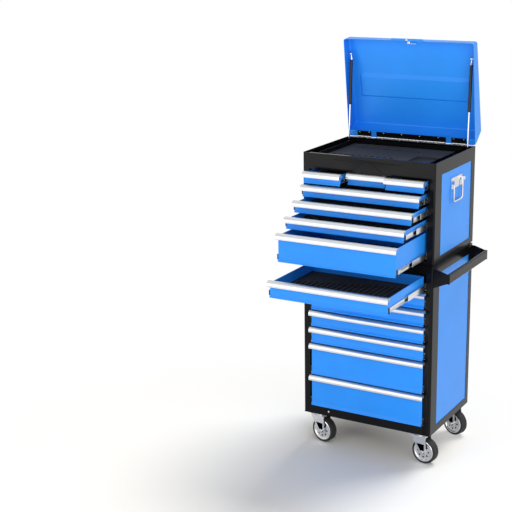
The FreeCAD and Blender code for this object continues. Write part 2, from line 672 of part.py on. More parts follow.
def wide_drawer(name, top, pitch, open_by):
    foot = f"({top} - {pitch})"
    pieces = drawer_box(name, "-boxHalf", "boxHalf", foot, pitch, "drawerLong", open_by)
    pieces.append(drawer_front(name + "_front", "-jambX + frontSideGap", "jambX - frontSideGap", foot, top, open_by))
    z = f"{foot} + panUnder + slideRise"
    pieces += slide_pair(name + "_inner", "inner_member", "-jambX", "jambX", f"slideStart - ({open_by})", z)
    node(name + "_box", pieces)
    node(name + "_pull", [drawer_pull(name + "_grip", "-jambX + pullEndGap", "jambX - pullEndGap", top, open_by)])
    middle = slide_pair(name + "_middle", "middle_member", "-jambX", "jambX", f"slideStart - ({open_by}) / 2", z)
    node(name + "_runners", middle)
    fixed_members.extend(slide_pair(name + "_outer", "outer_member", "-jambX", "jambX", "slideStart", z))


def small_drawer(name, number, open_by):
    left = f"(-jambX + {number} * (smallOpening + dividerThick))"
    right = f"({left} + smallOpening)"
    top = "chestTop - tillTall"
    foot = f"({top} - chestPitch)"
    near, far = f"({left} + smallSlideThick)", f"({right} - smallSlideThick)"
    pieces = drawer_box(name, near, far, foot, "chestPitch", "smallLong", open_by)
    front = (f"{left} + frontSideGap / 2", f"{right} - frontSideGap / 2")
    pieces.append(drawer_front(name + "_front", front[0], front[1], foot, top, open_by))
    z = f"{foot} + panUnder + slideRise"
    pieces += slide_pair(name + "_inner", "small_inner_member", left, right, f"slideStart - ({open_by})", z)
    ends = (f"{left} + pullEndGap", f"{right} - pullEndGap")
    pieces.append(drawer_pull(name + "_grip", ends[0], ends[1], top, open_by))
    node(name, pieces)
    fixed_members.extend(slide_pair(name + "_outer", "small_outer_member", left, right, "slideStart", z))


def drawers():
    for number, (side, open_by) in enumerate((("left", "openLeft"), ("middle", "openMiddle"), ("right", "openRight"))):
        small_drawer(f"small_drawer_{side}", number, open_by)
    top = "chestTop - tillTall - chestPitch"
    for number in range(1, 5):
        pitch = "chestPitch" if number < 4 else "chestDeepPitch"
        wide_drawer(f"chest_drawer_{number}", f"({top})", pitch, f"{number} * openStep")
        top += f" - {pitch}"
    top = "cabinetTop - headerTall"
    for number in range(1, 8):
        pitch = "shallowPitch" if number < 6 else "deepPitch"
        wide_drawer(f"cabinet_drawer_{number}", f"({top})", pitch, "5 * openStep" if number == 1 else "0")
        top += f" - {pitch}"
    node("slide_rails", fixed_members)


# The lid is drawn closed, then swung open about its hinge.

def lid_turn(piece):
    centre = Vector(0, value("unitDeep"), value("hingeZ"))
    piece.Placement = FreeCAD.Placement(Vector(), Rotation(Vector(1, 0, 0), -value("lidOpen")), centre)
    return piece


def lid_height(run):
    # Height of the lid's top surface at a run from the front edge.
    return f"(lidEdge + lidFront + ({run}) / (unitDeep - lidSlant) * (lidRear - lidFront))"


def lid_block(name, shrink, half):
    corners = [
        (shrink, "lidEdge"), (shrink, f"{lid_height('0')} - ({shrink})"),
        ("unitDeep - lidSlant", f"lidEdge + lidRear - ({shrink})"),
        (f"unitDeep - ({shrink})", f"lidEdge + lidHeel - ({shrink}) / 2"), (f"unitDeep - ({shrink})", "lidEdge"),
    ]
    return padded(name, "YZ_Plane", corners, f"2 * ({half})", (f"-({half})", "0", "0"))


def press_tool(name, drop, grow):
    # The field pressed into the lid's top, with sloping edges.
    near, far = "unitDeep - pressNear", "unitDeep - pressFar"
    slope = "pressDeep"
    corners = [
        (f"{near} - {grow}", f"{lid_height(near)} + pressDeep"), (f"{near} - {grow}", f"{lid_height(near)} - {drop}"),
        (f"{near} + {slope} - {grow}", f"{lid_height(near)} - pressDeep - {drop}"),
        (f"{far} - {slope} + {grow}", f"{lid_height(far)} - pressDeep - {drop}"),
        (f"{far} + {grow}", f"{lid_height(far)} - {drop}"), (f"{far} + {grow}", f"{lid_height(far)} + pressDeep"),
    ]
    half = f"(pressHalf + {grow})"
    return padded(name, "YZ_Plane", corners, f"2 * {half}", (f"-{half}", "0", "0"))


def hinge_spots():
    return [("left", "-shortLeafAt", "shortLeaf"), ("middle", "0", "longLeaf"), ("right", "shortLeafAt", "shortLeaf")]


def knuckles(name, middle, length, odd):
    # Alternate tubes round the pin; the odd ones belong to the lid.
    count = int(value(length) // value("knuckleLong"))
    count -= 1 - count % 2
    pieces = []
    for number in range(count):
        if number % 2 != odd:
            continue
        start = f"{middle} - {count} * knuckleLong / 2 + {number} * knuckleLong + knuckleGap / 2"
        at = (start, "unitDeep", "hingeZ")
        tube = cylinder(f"{name}_tube_{number}", at, "knuckleRound", "knuckleLong - knuckleGap", "x")
        base = "hingeZ + knuckleRound - leafSheet" if odd else "chestTop"
        web = box(f"{name}_web_{number}", (start, "unitDeep - knuckleRound", base),
                  ("knuckleLong - knuckleGap", "knuckleRound", "leafSheet"))
        bore = cylinder(f"{name}_bore_{number}", at, "hingePin + pinClear" if odd else "hingePin",
                        "knuckleLong - knuckleGap", "x")
        pieces.append(cut(f"{name}_knuckle_{number}", fuse(f"{name}_rolled_{number}", tube, web), bore))
    return pieces


def hinge_leaf(name, middle, length, odd):
    base = "hingeZ + knuckleRound - leafSheet" if odd else "chestTop"
    at = (f"{middle} - {length} / 2", "unitDeep - leafWide", base)
    flat = box(name + "_flat", at, (length, "leafWide - knuckleRound", "leafSheet"))
    return fuse(name, flat, *knuckles(name, middle, length, odd))


def lid_hinges():
    pieces = []
    for side, middle, length in hinge_spots():
        pieces.append(hinge_leaf(f"fixed_leaf_{side}", middle, length, 0))
        pin_at = (f"{middle} - {length} / 2", "unitDeep", "hingeZ")
        pieces.append(cylinder(f"hinge_pin_{side}", pin_at, "hingePin", length, "x"))
    return node("lid_hinges", pieces)


def lid():
    outer = lid_block("lid_outer", "0", "sideX")
    inner = lid_block("lid_inner", "lidSheet", "sideX - lidSheet")
    dent = press_tool("press_dent", "0", "0")
    hump = press_tool("press_hump", "lidSheet", "lidSheet")
    shell = cut("lid_shell", cut("lid_dented", outer, dent), cut("lid_hollow", inner, hump))
    flange = box("lid_flange", ("-sideX + lidSheet", "unitDeep - lidSheet - leafWide", "lidFlangeZ"),
                 ("unitWide - 2 * lidSheet", "leafWide", "lidSheet"))
    wall_gap = box("lid_wall_gap", ("-sideX + lidSheet", "unitDeep - lidSheet", "lidEdge - lidSheet"),
                   ("unitWide - 2 * lidSheet", "2 * lidSheet", "lidFlangeZ - lidEdge + lidSheet"))
    tab = box("lid_tab", ("-tabHalf", "-tabReach", "lidEdge"), ("2 * tabHalf", "tabReach + lidSheet", "lidSheet"))
    hole = cylinder("lid_lock_hole", ("0", "-lockHeadRound", "lidEdge + lidLockRise"),
                    "lockRound + pinClear", "2 * lockHeadRound", "y")
    pressed = cut("lid_pressed", fuse("lid_body", shell, flange, tab), wall_gap, hole)
    pieces = [pressed]
    for side, middle, length in hinge_spots():
        pieces.append(hinge_leaf(f"lid_leaf_{side}", middle, length, 1))
    for side, start in (("right", "strutAt - strutEyeWide / 2"),
                        ("left", "-(sideX - lidSheet)")):
        at = (start, "unitDeep - strutLidRun", "hingeZ + strutLidDeep")
        pieces.append(cylinder(f"strut_stud_{side}", at, "strutPin", "sideX - lidSheet - strutAt + strutEyeWide / 2", "x"))
    return lid_turn(node("lid", pieces))


def lock(name, z, cam_long):
    # A barrel with its head in front of the rail, and a cam behind it.
    core = cylinder(name + "_core", ("0", "0", z), "lockRound", "lockLong", "y")
    head = cylinder(name + "_head", ("0", "-lockHead", z), "lockHeadRound", "lockHead", "y")
    cam = box(name + "_cam", ("-camWide / 2", "lockLong", f"{z} - camWide / 2"), (cam_long, "camSheet", "camWide"))
    return node(name, [fuse(name + "_barrel", core, head), cam])


# Each gas strut is drawn along +Z from its upper pivot down, then turned into line.

def strut_line():
    # Upper pivot with the lid open, lower pivot, and the turn that lays a strut along them.
    turn = Rotation(Vector(1, 0, 0), -value("lidOpen"))
    arm = turn.multVec(Vector(0, -value("strutLidRun"), value("strutLidDeep")))
    top = Vector(0, value("unitDeep"), value("hingeZ")) + arm
    foot = Vector(0, value("unitDeep - strutFootBack"), value("chestTop - strutFootDrop"))
    way = foot - top
    return top, foot, Rotation(Vector(0, 0, -1), way)


def strut_length():
    top, foot, turn = strut_line()
    return (foot - top).Length


def strut_cylinders():
    tube = turned("strut_tube", "XZ_Plane", [
        ("0", "-strutNeck"), ("strutTube", "-strutNeck"), ("strutTube", "-strutNeck - strutTubeLong"),
        ("strutRod + pinClear", "-strutNeck - strutTubeLong"), ("strutRod + pinClear", "-strutNeck - strutTubeLong + strutPiston"),
        ("strutTube - strutWall", "-strutNeck - strutTubeLong + strutPiston"),
        ("strutTube - strutWall", "-strutNeck - strutPiston"), ("0", "-strutNeck - strutPiston"),
    ], "V_Axis")
    shank = cylinder("strut_shank", ("0", "0", "-strutNeck"), "strutRod", "strutNeck")
    eye = cylinder("strut_top_eye", ("-strutEyeWide / 2", "0", "0"), "strutEye", "strutEyeWide", "x")
    bore = cylinder("strut_top_bore", ("-strutEyeWide", "0", "0"), "strutPin + pinClear", "2 * strutEyeWide", "x")
    whole = cut("strut_cylinder", fuse("strut_cylinder_whole", tube, shank, eye), bore)
    return strut_pair("strut_cylinders", whole)


def strut_pair(name, whole):
    top, foot, turn = strut_line()
    pieces = []
    for side, x in (("right", value("strutAt")), ("left", -value("strutAt"))):
        one = group(f"{name}_{side}", [whole])
        one.Placement = FreeCAD.Placement(top + Vector(x, 0, 0), turn)
        pieces.append(one)
    return node(name, pieces)


def strut_rods():
    long = str(round(strut_length(), 6))
    head = "-strutNeck - strutTubeLong + strutPiston + strutPistonIn"
    bar = cylinder("strut_bar", ("0", "0", f"-{long}"), "strutRod", f"{long} + ({head})")
    piston = cylinder("strut_piston_head", ("0", "0", head), "strutTube - strutWall - pinClear", "strutPiston")
    eye = cylinder("strut_foot_eye", ("-strutEyeWide / 2", "0", f"-{long}"), "strutEye", "strutEyeWide", "x")
    bore = cylinder("strut_foot_bore", ("-strutEyeWide", "0", f"-{long}"), "strutPin + pinClear", "2 * strutEyeWide", "x")
    whole = cut("strut_rod", fuse("strut_rod_whole", bar, piston, eye), bore)
    return strut_pair("strut_rods", whole)


def strut_feet():
    # Studs on the chest sides beside the lower eyes, which they stop short of.
    start = "strutAt + strutEyeWide / 2 + footClear"
    at = (start, "unitDeep - strutFootBack", "chestTop - strutFootDrop")
    return pair(cylinder("strut_foot_stud", at, "strutPin", f"panelFace - ({start})", "x"))


def side_handle():
    low, high = "cabinetTop - gripDrop - gripTall", "cabinetTop - gripDrop"
    left, right = "gripX - gripThick / 2", "gripX + gripThick / 2"

    def rounded(inset):
        a, b = f"{left} + {inset}", f"{right} - ({inset})"
        c, d = f"{low} + {inset}", f"{high} - ({inset})"
        r = f"(gripRound - {inset})"
        return [(f"{a} + {r}", c), (f"{b} - {r}", c, r, 1), (b, f"{c} + {r}"), (b, f"{d} - {r}", r, 1),
                (f"{b} - {r}", d), (f"{a} + {r}", d, r, 1), (a, f"{d} - {r}"), (a, f"{c} + {r}", r, 1)]

    first = "wingFrontAt + wingSheet"
    last = "unitDeep - wingRearAt - wingSheet"
    bar = padded("grip_bar", "XZ_Plane", rounded("0"), f"{last} - ({first})", ("0", first, "0"), [rounded("gripWall")])
    pieces = [bar]
    root_high = "cabinetTop - wingRootDrop"
    corners = [
        ("sideX", f"{root_high} - wingRootTall"), (f"{left}", low), (right, low), (right, high), (left, high),
        ("sideX + gripThick", root_high), ("sideX", root_high),
    ]
    for name, y, foot_y in (("front", "wingFrontAt", "wingFrontAt + wingSheet"),
                            ("rear", last, f"{last} - wingFoot")):
        pieces.append(padded(f"wing_{name}", "XZ_Plane", corners, "wingSheet", ("0", y, "0")))
        pieces.append(box(f"wing_foot_{name}", ("sideX", foot_y, f"{root_high} - wingRootTall"),
                          ("wingSheet", "wingFoot", "wingRootTall")))
    return node("side_handle", pieces)


def bail_plates():
    # A plate with two ears on each side of the chest.
    at = ("panelFace", "bailAt - bailPlateLong / 2", "chestTop - bailDrop - bailPlateTall")
    sheet_part = box("bail_sheet", at, ("bailPlateSheet", "bailPlateLong", "bailPlateTall"))
    ears = []
    for number, y in enumerate(("bailAt - bailHalf - 2 * earWide / 2 - bailRod - bailClear",
                                "bailAt + bailHalf + bailRod + bailClear")):
        foot = "bailZ - 2 * bailRod"
        ear = box(f"bail_ear_{number}", ("panelFace + bailPlateSheet", y, foot),
                  ("bailProud + 2 * bailRod", "earWide", "4 * bailRod"))
        bore = cylinder(f"bail_ear_bore_{number}", ("bailX", f"{y} - earWide", "bailZ"),
                        "bailRod + bailClear", "3 * earWide", "y")
        ears.append(cut(f"bail_ear_bored_{number}", ear, bore))
    return pair(fuse("bail_plate", sheet_part, *ears))


bail_reach = "(bailHalf + bailRod + bailClear + earWide)"


def bail_bar(side, sign):
    # A round bar bent to a U from straight runs and quarter bends, its ends lying in the ears.
    legs = []
    span = "bailHalf - bailBend"
    drop = "bailHang - bailBend"
    legs.append(cylinder(f"bail_{side}_grip", ("0", f"-({span})", "-bailHang"), "bailRod", f"2 * ({span})", "y"))
    for name, way in (("near", -1), ("far", 1)):
        leg_at = ("0", f"{way} * bailHalf", f"-({drop})")
        legs.append(cylinder(f"bail_{side}_leg_{name}", leg_at, "bailRod", drop))
        bend = doc.addObject("Part::Torus", f"bail_{side}_bend_{name}")
        bend.setExpression("Radius1", cells("bailBend"))
        bend.setExpression("Radius2", cells("bailRod"))
        bend.Angle3 = 90
        facing = Rotation(Vector(0, way, 0), Vector(0, 0, -1), Vector(-way, 0, 0), "XYZ")
        bend.Placement = FreeCAD.Placement(Vector(), facing)
        place(bend, ("0", f"{way} * ({span})", f"-({drop})"))
        legs.append(bend)
        start = f"{bail_reach} * {way}" if way < 0 else "bailHalf - bailRod"
        legs.append(cylinder(f"bail_{side}_end_{name}", ("0", start, "0"), "bailRod", f"{bail_reach} - bailHalf + bailRod", "y"))
    whole = fuse(f"bail_{side}_bar", *legs)
    return node(f"bail_{side}", [group(f"bail_{side}_hung", [whole], (f"{sign} * bailX", "bailAt", "bailZ"))])


# Casters are drawn with the swivel axis on Z, the wheel trailing towards +X.

def caster_plates():
    pieces = []
    for corner, x, y, turn in caster_spots():
        at = (f"{x} - mountLong / 2", f"{y} - mountWide / 2", "casterTall - mountPlate")
        blank = box(f"mount_{corner}", at, ("mountLong", "mountWide", "mountPlate"))
        drills = []
        for number, (dx, dy) in enumerate(bolt_spots()):
            hole_at = (f"{x} + {dx}", f"{y} + {dy}", "casterTall - 2 * mountPlate")
            drills.append(cylinder(f"mount_drill_{corner}_{number}", hole_at, "boltRound + boltClear", "3 * mountPlate"))
            shank_at = (f"{x} + {dx}", f"{y} + {dy}", "casterTall - mountPlate")
            head_at = (f"{x} + {dx}", f"{y} + {dy}", "casterTall - mountPlate - boltHeadTall")
            nut_at = (f"{x} + {dx}", f"{y} + {dy}", "casterTall + frameSheet")
            shank = cylinder(f"bolt_{corner}_{number}", shank_at, "boltRound", "mountPlate + frameSheet")
            head = cylinder(f"bolt_head_{corner}_{number}", head_at, "boltHead", "boltHeadTall")
            nut = cylinder(f"bolt_nut_{corner}_{number}", nut_at, "boltHead", "boltHeadTall")
            pieces.append(fuse(f"plate_bolt_{corner}_{number}", shank, head, nut))
        race = cylinder(f"race_{corner}", (x, y, "casterTall - mountPlate - raceTall"), "raceRound", "raceTall")
        pin_long = "raceGap + forkSheet + raceGap"
        pin = cylinder(f"king_pin_{corner}", (x, y, f"casterTall - mountPlate - raceTall - {pin_long}"), "kingPin", pin_long)
        cap_at = (x, y, f"casterTall - mountPlate - raceTall - {pin_long} - axleHeadLong / 2")
        cap = cylinder(f"king_cap_{corner}", cap_at, "axleHead", "axleHeadLong / 2")
        bored = cut(f"mount_bored_{corner}", blank, group(f"mount_drills_{corner}", drills))
        pieces.append(fuse(f"mount_plate_{corner}", bored, race, pin, cap))
    return node("caster_plates", pieces)


def wheel_master():
    inner = "axleRound + pinClear"
    tyre = turned("tyre", "XY_Plane", [
        ("rimRound", "-wheelWide / 2"), ("wheelRound - treadRound", "-wheelWide / 2", "treadRound", 1),
        ("wheelRound", "-wheelWide / 2 + treadRound"), ("wheelRound", "wheelWide / 2 - treadRound", "treadRound", 1),
        ("wheelRound - treadRound", "wheelWide / 2"), ("rimRound", "wheelWide / 2"),
    ], "V_Axis")
    band = "rimRound - rimBand"
    rim = turned("wheel_rim", "XY_Plane", [
        (inner, "-hubWide / 2"), ("hubRound", "-hubWide / 2"), ("hubRound", "-rimSheet / 2"), (band, "-rimSheet / 2"),
        (band, "-wheelWide / 2"), ("rimRound", "-wheelWide / 2"), ("rimRound", "wheelWide / 2"),
        (band, "wheelWide / 2"), (band, "rimSheet / 2"), ("hubRound", "rimSheet / 2"), ("hubRound", "hubWide / 2"),
        (inner, "hubWide / 2"),
    ], "V_Axis")
    return [tyre, rim]


def fork_master():
    top, low = "forkTopZ", "wheelRound"
    eye = "forkFoot / 2"
    head_near = "-forkTop / 2"
    side = [
        (head_near, f"{top} - forkSheet"), (f"casterTrail - {eye}", low, eye, 1),
        ("casterTrail", f"{low} - {eye}", eye, 1), (f"casterTrail + {eye}", low),
        ("forkTop / 2 + forkSheet", f"{top} - forkSheet"),
    ]
    right = padded("fork_leg", "XZ_Plane", side, "forkSheet", ("0", "forkHalf", "0"))
    left = padded("fork_leg_near", "XZ_Plane", side, "forkSheet", ("0", "-forkHalf - forkSheet", "0"))
    head = box("fork_head", (head_near, "-forkHalf - forkSheet", f"{top} - forkSheet"),
               ("forkTop + forkSheet", "2 * (forkHalf + forkSheet)", "forkSheet"))
    king = cylinder("fork_king_bore", ("0", "0", f"{top} - 2 * forkSheet"), "kingPin + raceGap", "3 * forkSheet")
    whole = cut("fork_bored", fuse("fork_bent", right, left, head), king)
    reach = "forkHalf + forkSheet"
    axle_at = ("casterTrail", f"-({reach}) - axleHeadLong", "wheelRound")
    axle = cylinder("axle_bar", axle_at, "axleRound", f"2 * ({reach} + axleHeadLong)", "y")
    heads = [cylinder("axle_head_near", ("casterTrail", f"-({reach}) - axleHeadLong", "wheelRound"), "axleHead", "axleHeadLong", "y"),
             cylinder("axle_head_far", ("casterTrail", reach, "wheelRound"), "axleHead", "axleHeadLong", "y")]
    bores = cylinder("fork_axle_bore", axle_at, "axleRound", f"2 * ({reach} + axleHeadLong)", "y")
    return [cut("fork", whole, bores), fuse("axle_bolt", axle, *heads)]


def casters():
    wheel = wheel_master()
    fork = fork_master()
    for corner, x, y, turn in caster_spots():
        spot = Vector(value(x), value(y), 0)
        facing = Rotation(Vector(0, 0, 1), value(turn))
        one = node(f"caster_fork_{corner}", fork)
        one.Placement = FreeCAD.Placement(spot, facing)
        axle = spot + facing.multVec(Vector(value("casterTrail"), 0, value("wheelRound")))
        rolling = node(f"caster_wheel_{corner}", wheel)
        rolling.Placement = FreeCAD.Placement(axle, facing)


def build():
    cabinet_frame()
    side_and_back_panels()
    chest = chest_frame()
    chest.Links = chest.Links + strut_feet()
    chest_panels()
    till_tray()
    drawers()
    lid()
    lid_hinges()
    lid_turn(lock("lid_lock", "lidEdge + lidLockRise", "lidCamLong"))
    lock("cabinet_lock", "cabinetTop - lockDrop", "camLong")
    strut_cylinders()
    strut_rods()
    side_handle()
    bail_bar("right", 1)
    bail_bar("left", -1)
    caster_plates()
    casters()


build()
doc.recompute()

faults = [f"{piece.Name}: {piece.State}" for piece in doc.Objects if {"Invalid", "Error"} & set(piece.State)]
faults += [f"{piece.Label}: no valid shape" for piece in nodes if piece.Shape.isNull() or not piece.Shape.isValid()]
if faults:
    raise RuntimeError("; ".join(faults))

# The origin goes under the middle of the whole object, on the floor.
whole = Part.makeCompound([piece.Shape for piece in nodes]).optimalBoundingBox(False, False)
shift = Vector(-(whole.XMin + whole.XMax) / 2, -(whole.YMin + whole.YMax) / 2, 0)
os.makedirs("parts", exist_ok=True)
for piece in nodes:
    piece.Placement.Base = piece.Placement.Base + shift
doc.recompute()
for piece in nodes:
    piece.Shape.exportStep(f"parts/{piece.Label}.step")
print(len(nodes), "sub-parts, origin moved by", round(shift.x, 3), round(shift.y, 3))
print("box", whole)
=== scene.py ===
import json
import math

import bmesh
import bpy
import numpy as np
from mathutils import Matrix, Vector
from mathutils.geometry import tessellate_polygon

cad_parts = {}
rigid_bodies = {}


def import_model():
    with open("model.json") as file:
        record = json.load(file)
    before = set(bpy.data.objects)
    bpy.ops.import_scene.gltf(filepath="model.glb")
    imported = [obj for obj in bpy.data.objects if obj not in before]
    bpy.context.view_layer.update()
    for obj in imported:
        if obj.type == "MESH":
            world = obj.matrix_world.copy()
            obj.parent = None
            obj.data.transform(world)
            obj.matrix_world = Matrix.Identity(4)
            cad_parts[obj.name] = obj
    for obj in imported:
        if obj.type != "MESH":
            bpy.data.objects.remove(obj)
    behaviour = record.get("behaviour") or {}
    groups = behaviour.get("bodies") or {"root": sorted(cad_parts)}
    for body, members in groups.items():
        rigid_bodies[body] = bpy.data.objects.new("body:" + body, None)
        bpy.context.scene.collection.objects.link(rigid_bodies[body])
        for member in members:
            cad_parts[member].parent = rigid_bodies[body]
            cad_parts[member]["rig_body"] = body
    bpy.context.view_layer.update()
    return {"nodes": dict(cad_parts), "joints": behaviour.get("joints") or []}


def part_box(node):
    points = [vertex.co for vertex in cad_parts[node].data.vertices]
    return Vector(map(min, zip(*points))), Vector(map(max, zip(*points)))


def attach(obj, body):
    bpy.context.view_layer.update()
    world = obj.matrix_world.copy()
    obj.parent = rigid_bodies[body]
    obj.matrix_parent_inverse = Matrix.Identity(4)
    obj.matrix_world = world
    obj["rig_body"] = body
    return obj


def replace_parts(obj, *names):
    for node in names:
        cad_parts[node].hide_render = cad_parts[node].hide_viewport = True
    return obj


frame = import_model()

joints = {joint["name"]: joint for joint in frame["joints"]}
root = "cabinet_and_chest"


def mm(*numbers):
    # Millimetres as metres.
    scaled = [number * 0.001 for number in numbers]
    return scaled[0] if len(scaled) == 1 else scaled


# Shader maths: an expression on values adds its Math nodes.

class Value:
    def __init__(self, nodes, socket):
        self.nodes, self.socket = nodes, socket

    def math(self, operation, first, second):
        node = self.nodes.node("ShaderNodeMath", dict(operation=operation), {0: first, 1: second})
        return Value(self.nodes, node.outputs[0])

    def __add__(self, other):
        return self.math("ADD", self, other)

    def __sub__(self, other):
        return self.math("SUBTRACT", self, other)

    def __rsub__(self, other):
        return self.math("SUBTRACT", other, self)

    def __mul__(self, other):
        return self.math("MULTIPLY", self, other)

    def __truediv__(self, other):
        return self.math("DIVIDE", self, other)

    def atLeast(self, other):
        return self.math("MAXIMUM", self, other)

    def atMost(self, other):
        return self.math("MINIMUM", self, other)

    def between(self, low, high):
        # 0 at low, 1 at high, and held outside
        return ((self - low) / (high - low)).atLeast(0).atMost(1)

    __radd__, __rmul__ = __add__, __mul__


class Nodes:
    def __init__(self, owner):
        owner.use_nodes = True
        self.made, self.tree = owner, owner.node_tree

    def feed(self, socket, value):
        value = value.socket if isinstance(value, Value) else value
        if isinstance(value, bpy.types.NodeSocket):
            self.tree.links.new(value, socket)
        elif socket.type == "RGBA":
            socket.default_value = (*value, 1)
        else:
            socket.default_value = value

    def node(self, kind, settings, sockets):
        node = self.tree.nodes.new(kind)
        for key, value in settings.items():
            setattr(node, key, value)
        for key, value in sockets.items():
            self.feed(node.inputs[key], value)
        return node

    def seen(self):
        # 1 for what the camera sees, straight or in a gloss or through glass
        ray = self.node("ShaderNodeLightPath", {}, {})
        straight, gloss, through = (Value(self, ray.outputs[name])
                                    for name in ("Is Camera Ray", "Is Glossy Ray", "Is Transmission Ray"))
        return (straight + gloss + through).atMost(1)


class Material(Nodes):
    def __init__(self, name):
        super().__init__(bpy.data.materials.new(name))
        self.shader = self.tree.nodes["Principled BSDF"]
        self.place = self.node("ShaderNodeTexCoord", {}, {}).outputs["Object"]

    def noise(self, scale, detail=3.0, stretch=(1, 1, 1)):
        place = self.node("ShaderNodeMapping", {}, {"Vector": self.place, "Scale": stretch}).outputs["Vector"]
        node = self.node("ShaderNodeTexNoise", {}, {"Vector": place, "Scale": scale, "Detail": detail})
        return Value(self, node.outputs["Fac"])

    def blended(self, mask, first, second):
        node = self.node("ShaderNodeMix", dict(data_type="RGBA"), {0: mask, 6: first, 7: second})
        return node.outputs[2]

    def bumped(self, height, strength, distance):
        node = self.node("ShaderNodeBump", {}, {"Height": height, "Strength": strength, "Distance": distance})
        return node.outputs["Normal"]

    def finish(self, **sockets):
        for key, value in sockets.items():
            self.feed(self.shader.inputs[key.replace("_", " ")], value)
        return self.made


def shade(colour, share):
    # The colour times a share, held below 1.
    return tuple(min(1.0, part * share) for part in colour)


# Colours are linear, lengths in metres, and sizes of grain per metre.
bluePaint = dict(kind="paint", colour=(0.020, 0.29, 0.95), rough=0.34, coat=0.08, gloss=0.22)
finishes = dict(
    blue=dict(bluePaint, slot="blue_steel"),
    drawerBlue=dict(bluePaint, slot="drawer_blue"),
    black=dict(kind="paint", colour=(0.004, 0.004, 0.005), rough=0.20, coat=0.0, gloss=0.15, slot="black_steel"),
    enamel=dict(kind="paint", colour=(0.006, 0.006, 0.007), rough=0.20, coat=0.05, gloss=0.3, slot="strut_black"),
    aluminium=dict(kind="drawn", colour=(0.64, 0.66, 0.68), rough=0.36, grain=(3, 1400, 1400), slot="satin_aluminium"),
    zinc=dict(kind="plated", colour=(0.72, 0.73, 0.75), rough=0.20, patch=60, slot="zinc_steel"),
    disc=dict(kind="plated", colour=(0.76, 0.77, 0.79), rough=0.16, patch=90, slot="wheel"),
    chrome=dict(kind="plated", colour=(0.66, 0.67, 0.69), rough=0.10, patch=25, slot="bright_steel"),
    foam=dict(kind="grained", colour=(0.032, 0.034, 0.038), rough=0.90, grain=2200,
              depth=mm(0.25), slot="black_steel"),
    foamBed=dict(kind="grained", colour=(0.014, 0.015, 0.018), rough=0.92, grain=2200,
                 depth=mm(0.25), slot="black_steel"),
    rubber=dict(kind="grained", colour=(0.018, 0.018, 0.019), rough=0.72, grain=900, depth=mm(0.12), slot="wheel"),
    plastic=dict(kind="grained", colour=(0.010, 0.010, 0.011), rough=0.45, grain=1200,
                 depth=mm(0.04), slot="zinc_steel"),
)


def finished(name, f):
    m = Material(name + "_finish")
    if f["kind"] == "paint":
        # Powder coat: a slow drift in tone, and orange peel.
        drift, peel = m.noise(6), m.noise(420, 0)
        colour = m.blended(drift.between(0.3, 0.7), shade(f["colour"], 0.97), shade(f["colour"], 1.03))
        return m.finish(Base_Color=colour, Roughness=f["rough"] - 0.02 + 0.04 * m.noise(70), Coat_Weight=f["coat"],
                        Coat_Roughness=0.15, Specular_IOR_Level=f["gloss"], Normal=m.bumped(peel, 0.05, mm(0.02)))
    if f["kind"] == "drawn":
        # Long fine lines along the extrusion.
        lines = m.noise(1, 5, f["grain"])
        colour = m.blended(lines.between(0.3, 0.7), shade(f["colour"], 0.88), shade(f["colour"], 1.04))
        return m.finish(Base_Color=colour, Metallic=1.0, Roughness=f["rough"] - 0.1 + 0.2 * lines,
                        Normal=m.bumped(lines, 0.25, mm(0.05)))
    if f["kind"] == "plated":
        # Soft cloudy patches of plating and handling marks.
        cloud = m.noise(f["patch"], 4)
        colour = m.blended(cloud.between(0.25, 0.75), shade(f["colour"], 0.92), shade(f["colour"], 1.05))
        return m.finish(Base_Color=colour, Metallic=1.0, Roughness=f["rough"] * (0.85 + 0.35 * cloud),
                        Normal=m.bumped(m.noise(f["patch"] * 9, 2), 0.08, mm(0.1)))
    # Foam, rubber and moulded plastic: a fine dull grain over soft patches.
    grain, patch = m.noise(f["grain"], 4), m.noise(f["grain"] / 12, 4)
    colour = m.blended(patch.between(0.3, 0.7), shade(f["colour"], 0.75), shade(f["colour"], 1.4))
    return m.finish(Base_Color=colour, Roughness=f["rough"] - 0.07 + 0.14 * grain, Specular_IOR_Level=0.35,
                    Normal=m.bumped(grain, 0.5, f["depth"]))


materials = {name: finished(name, f) for name, f in finishes.items()}
print("materials ready")


# A shape is an array of points and a list of faces; each maker below works its points out as whole arrays.

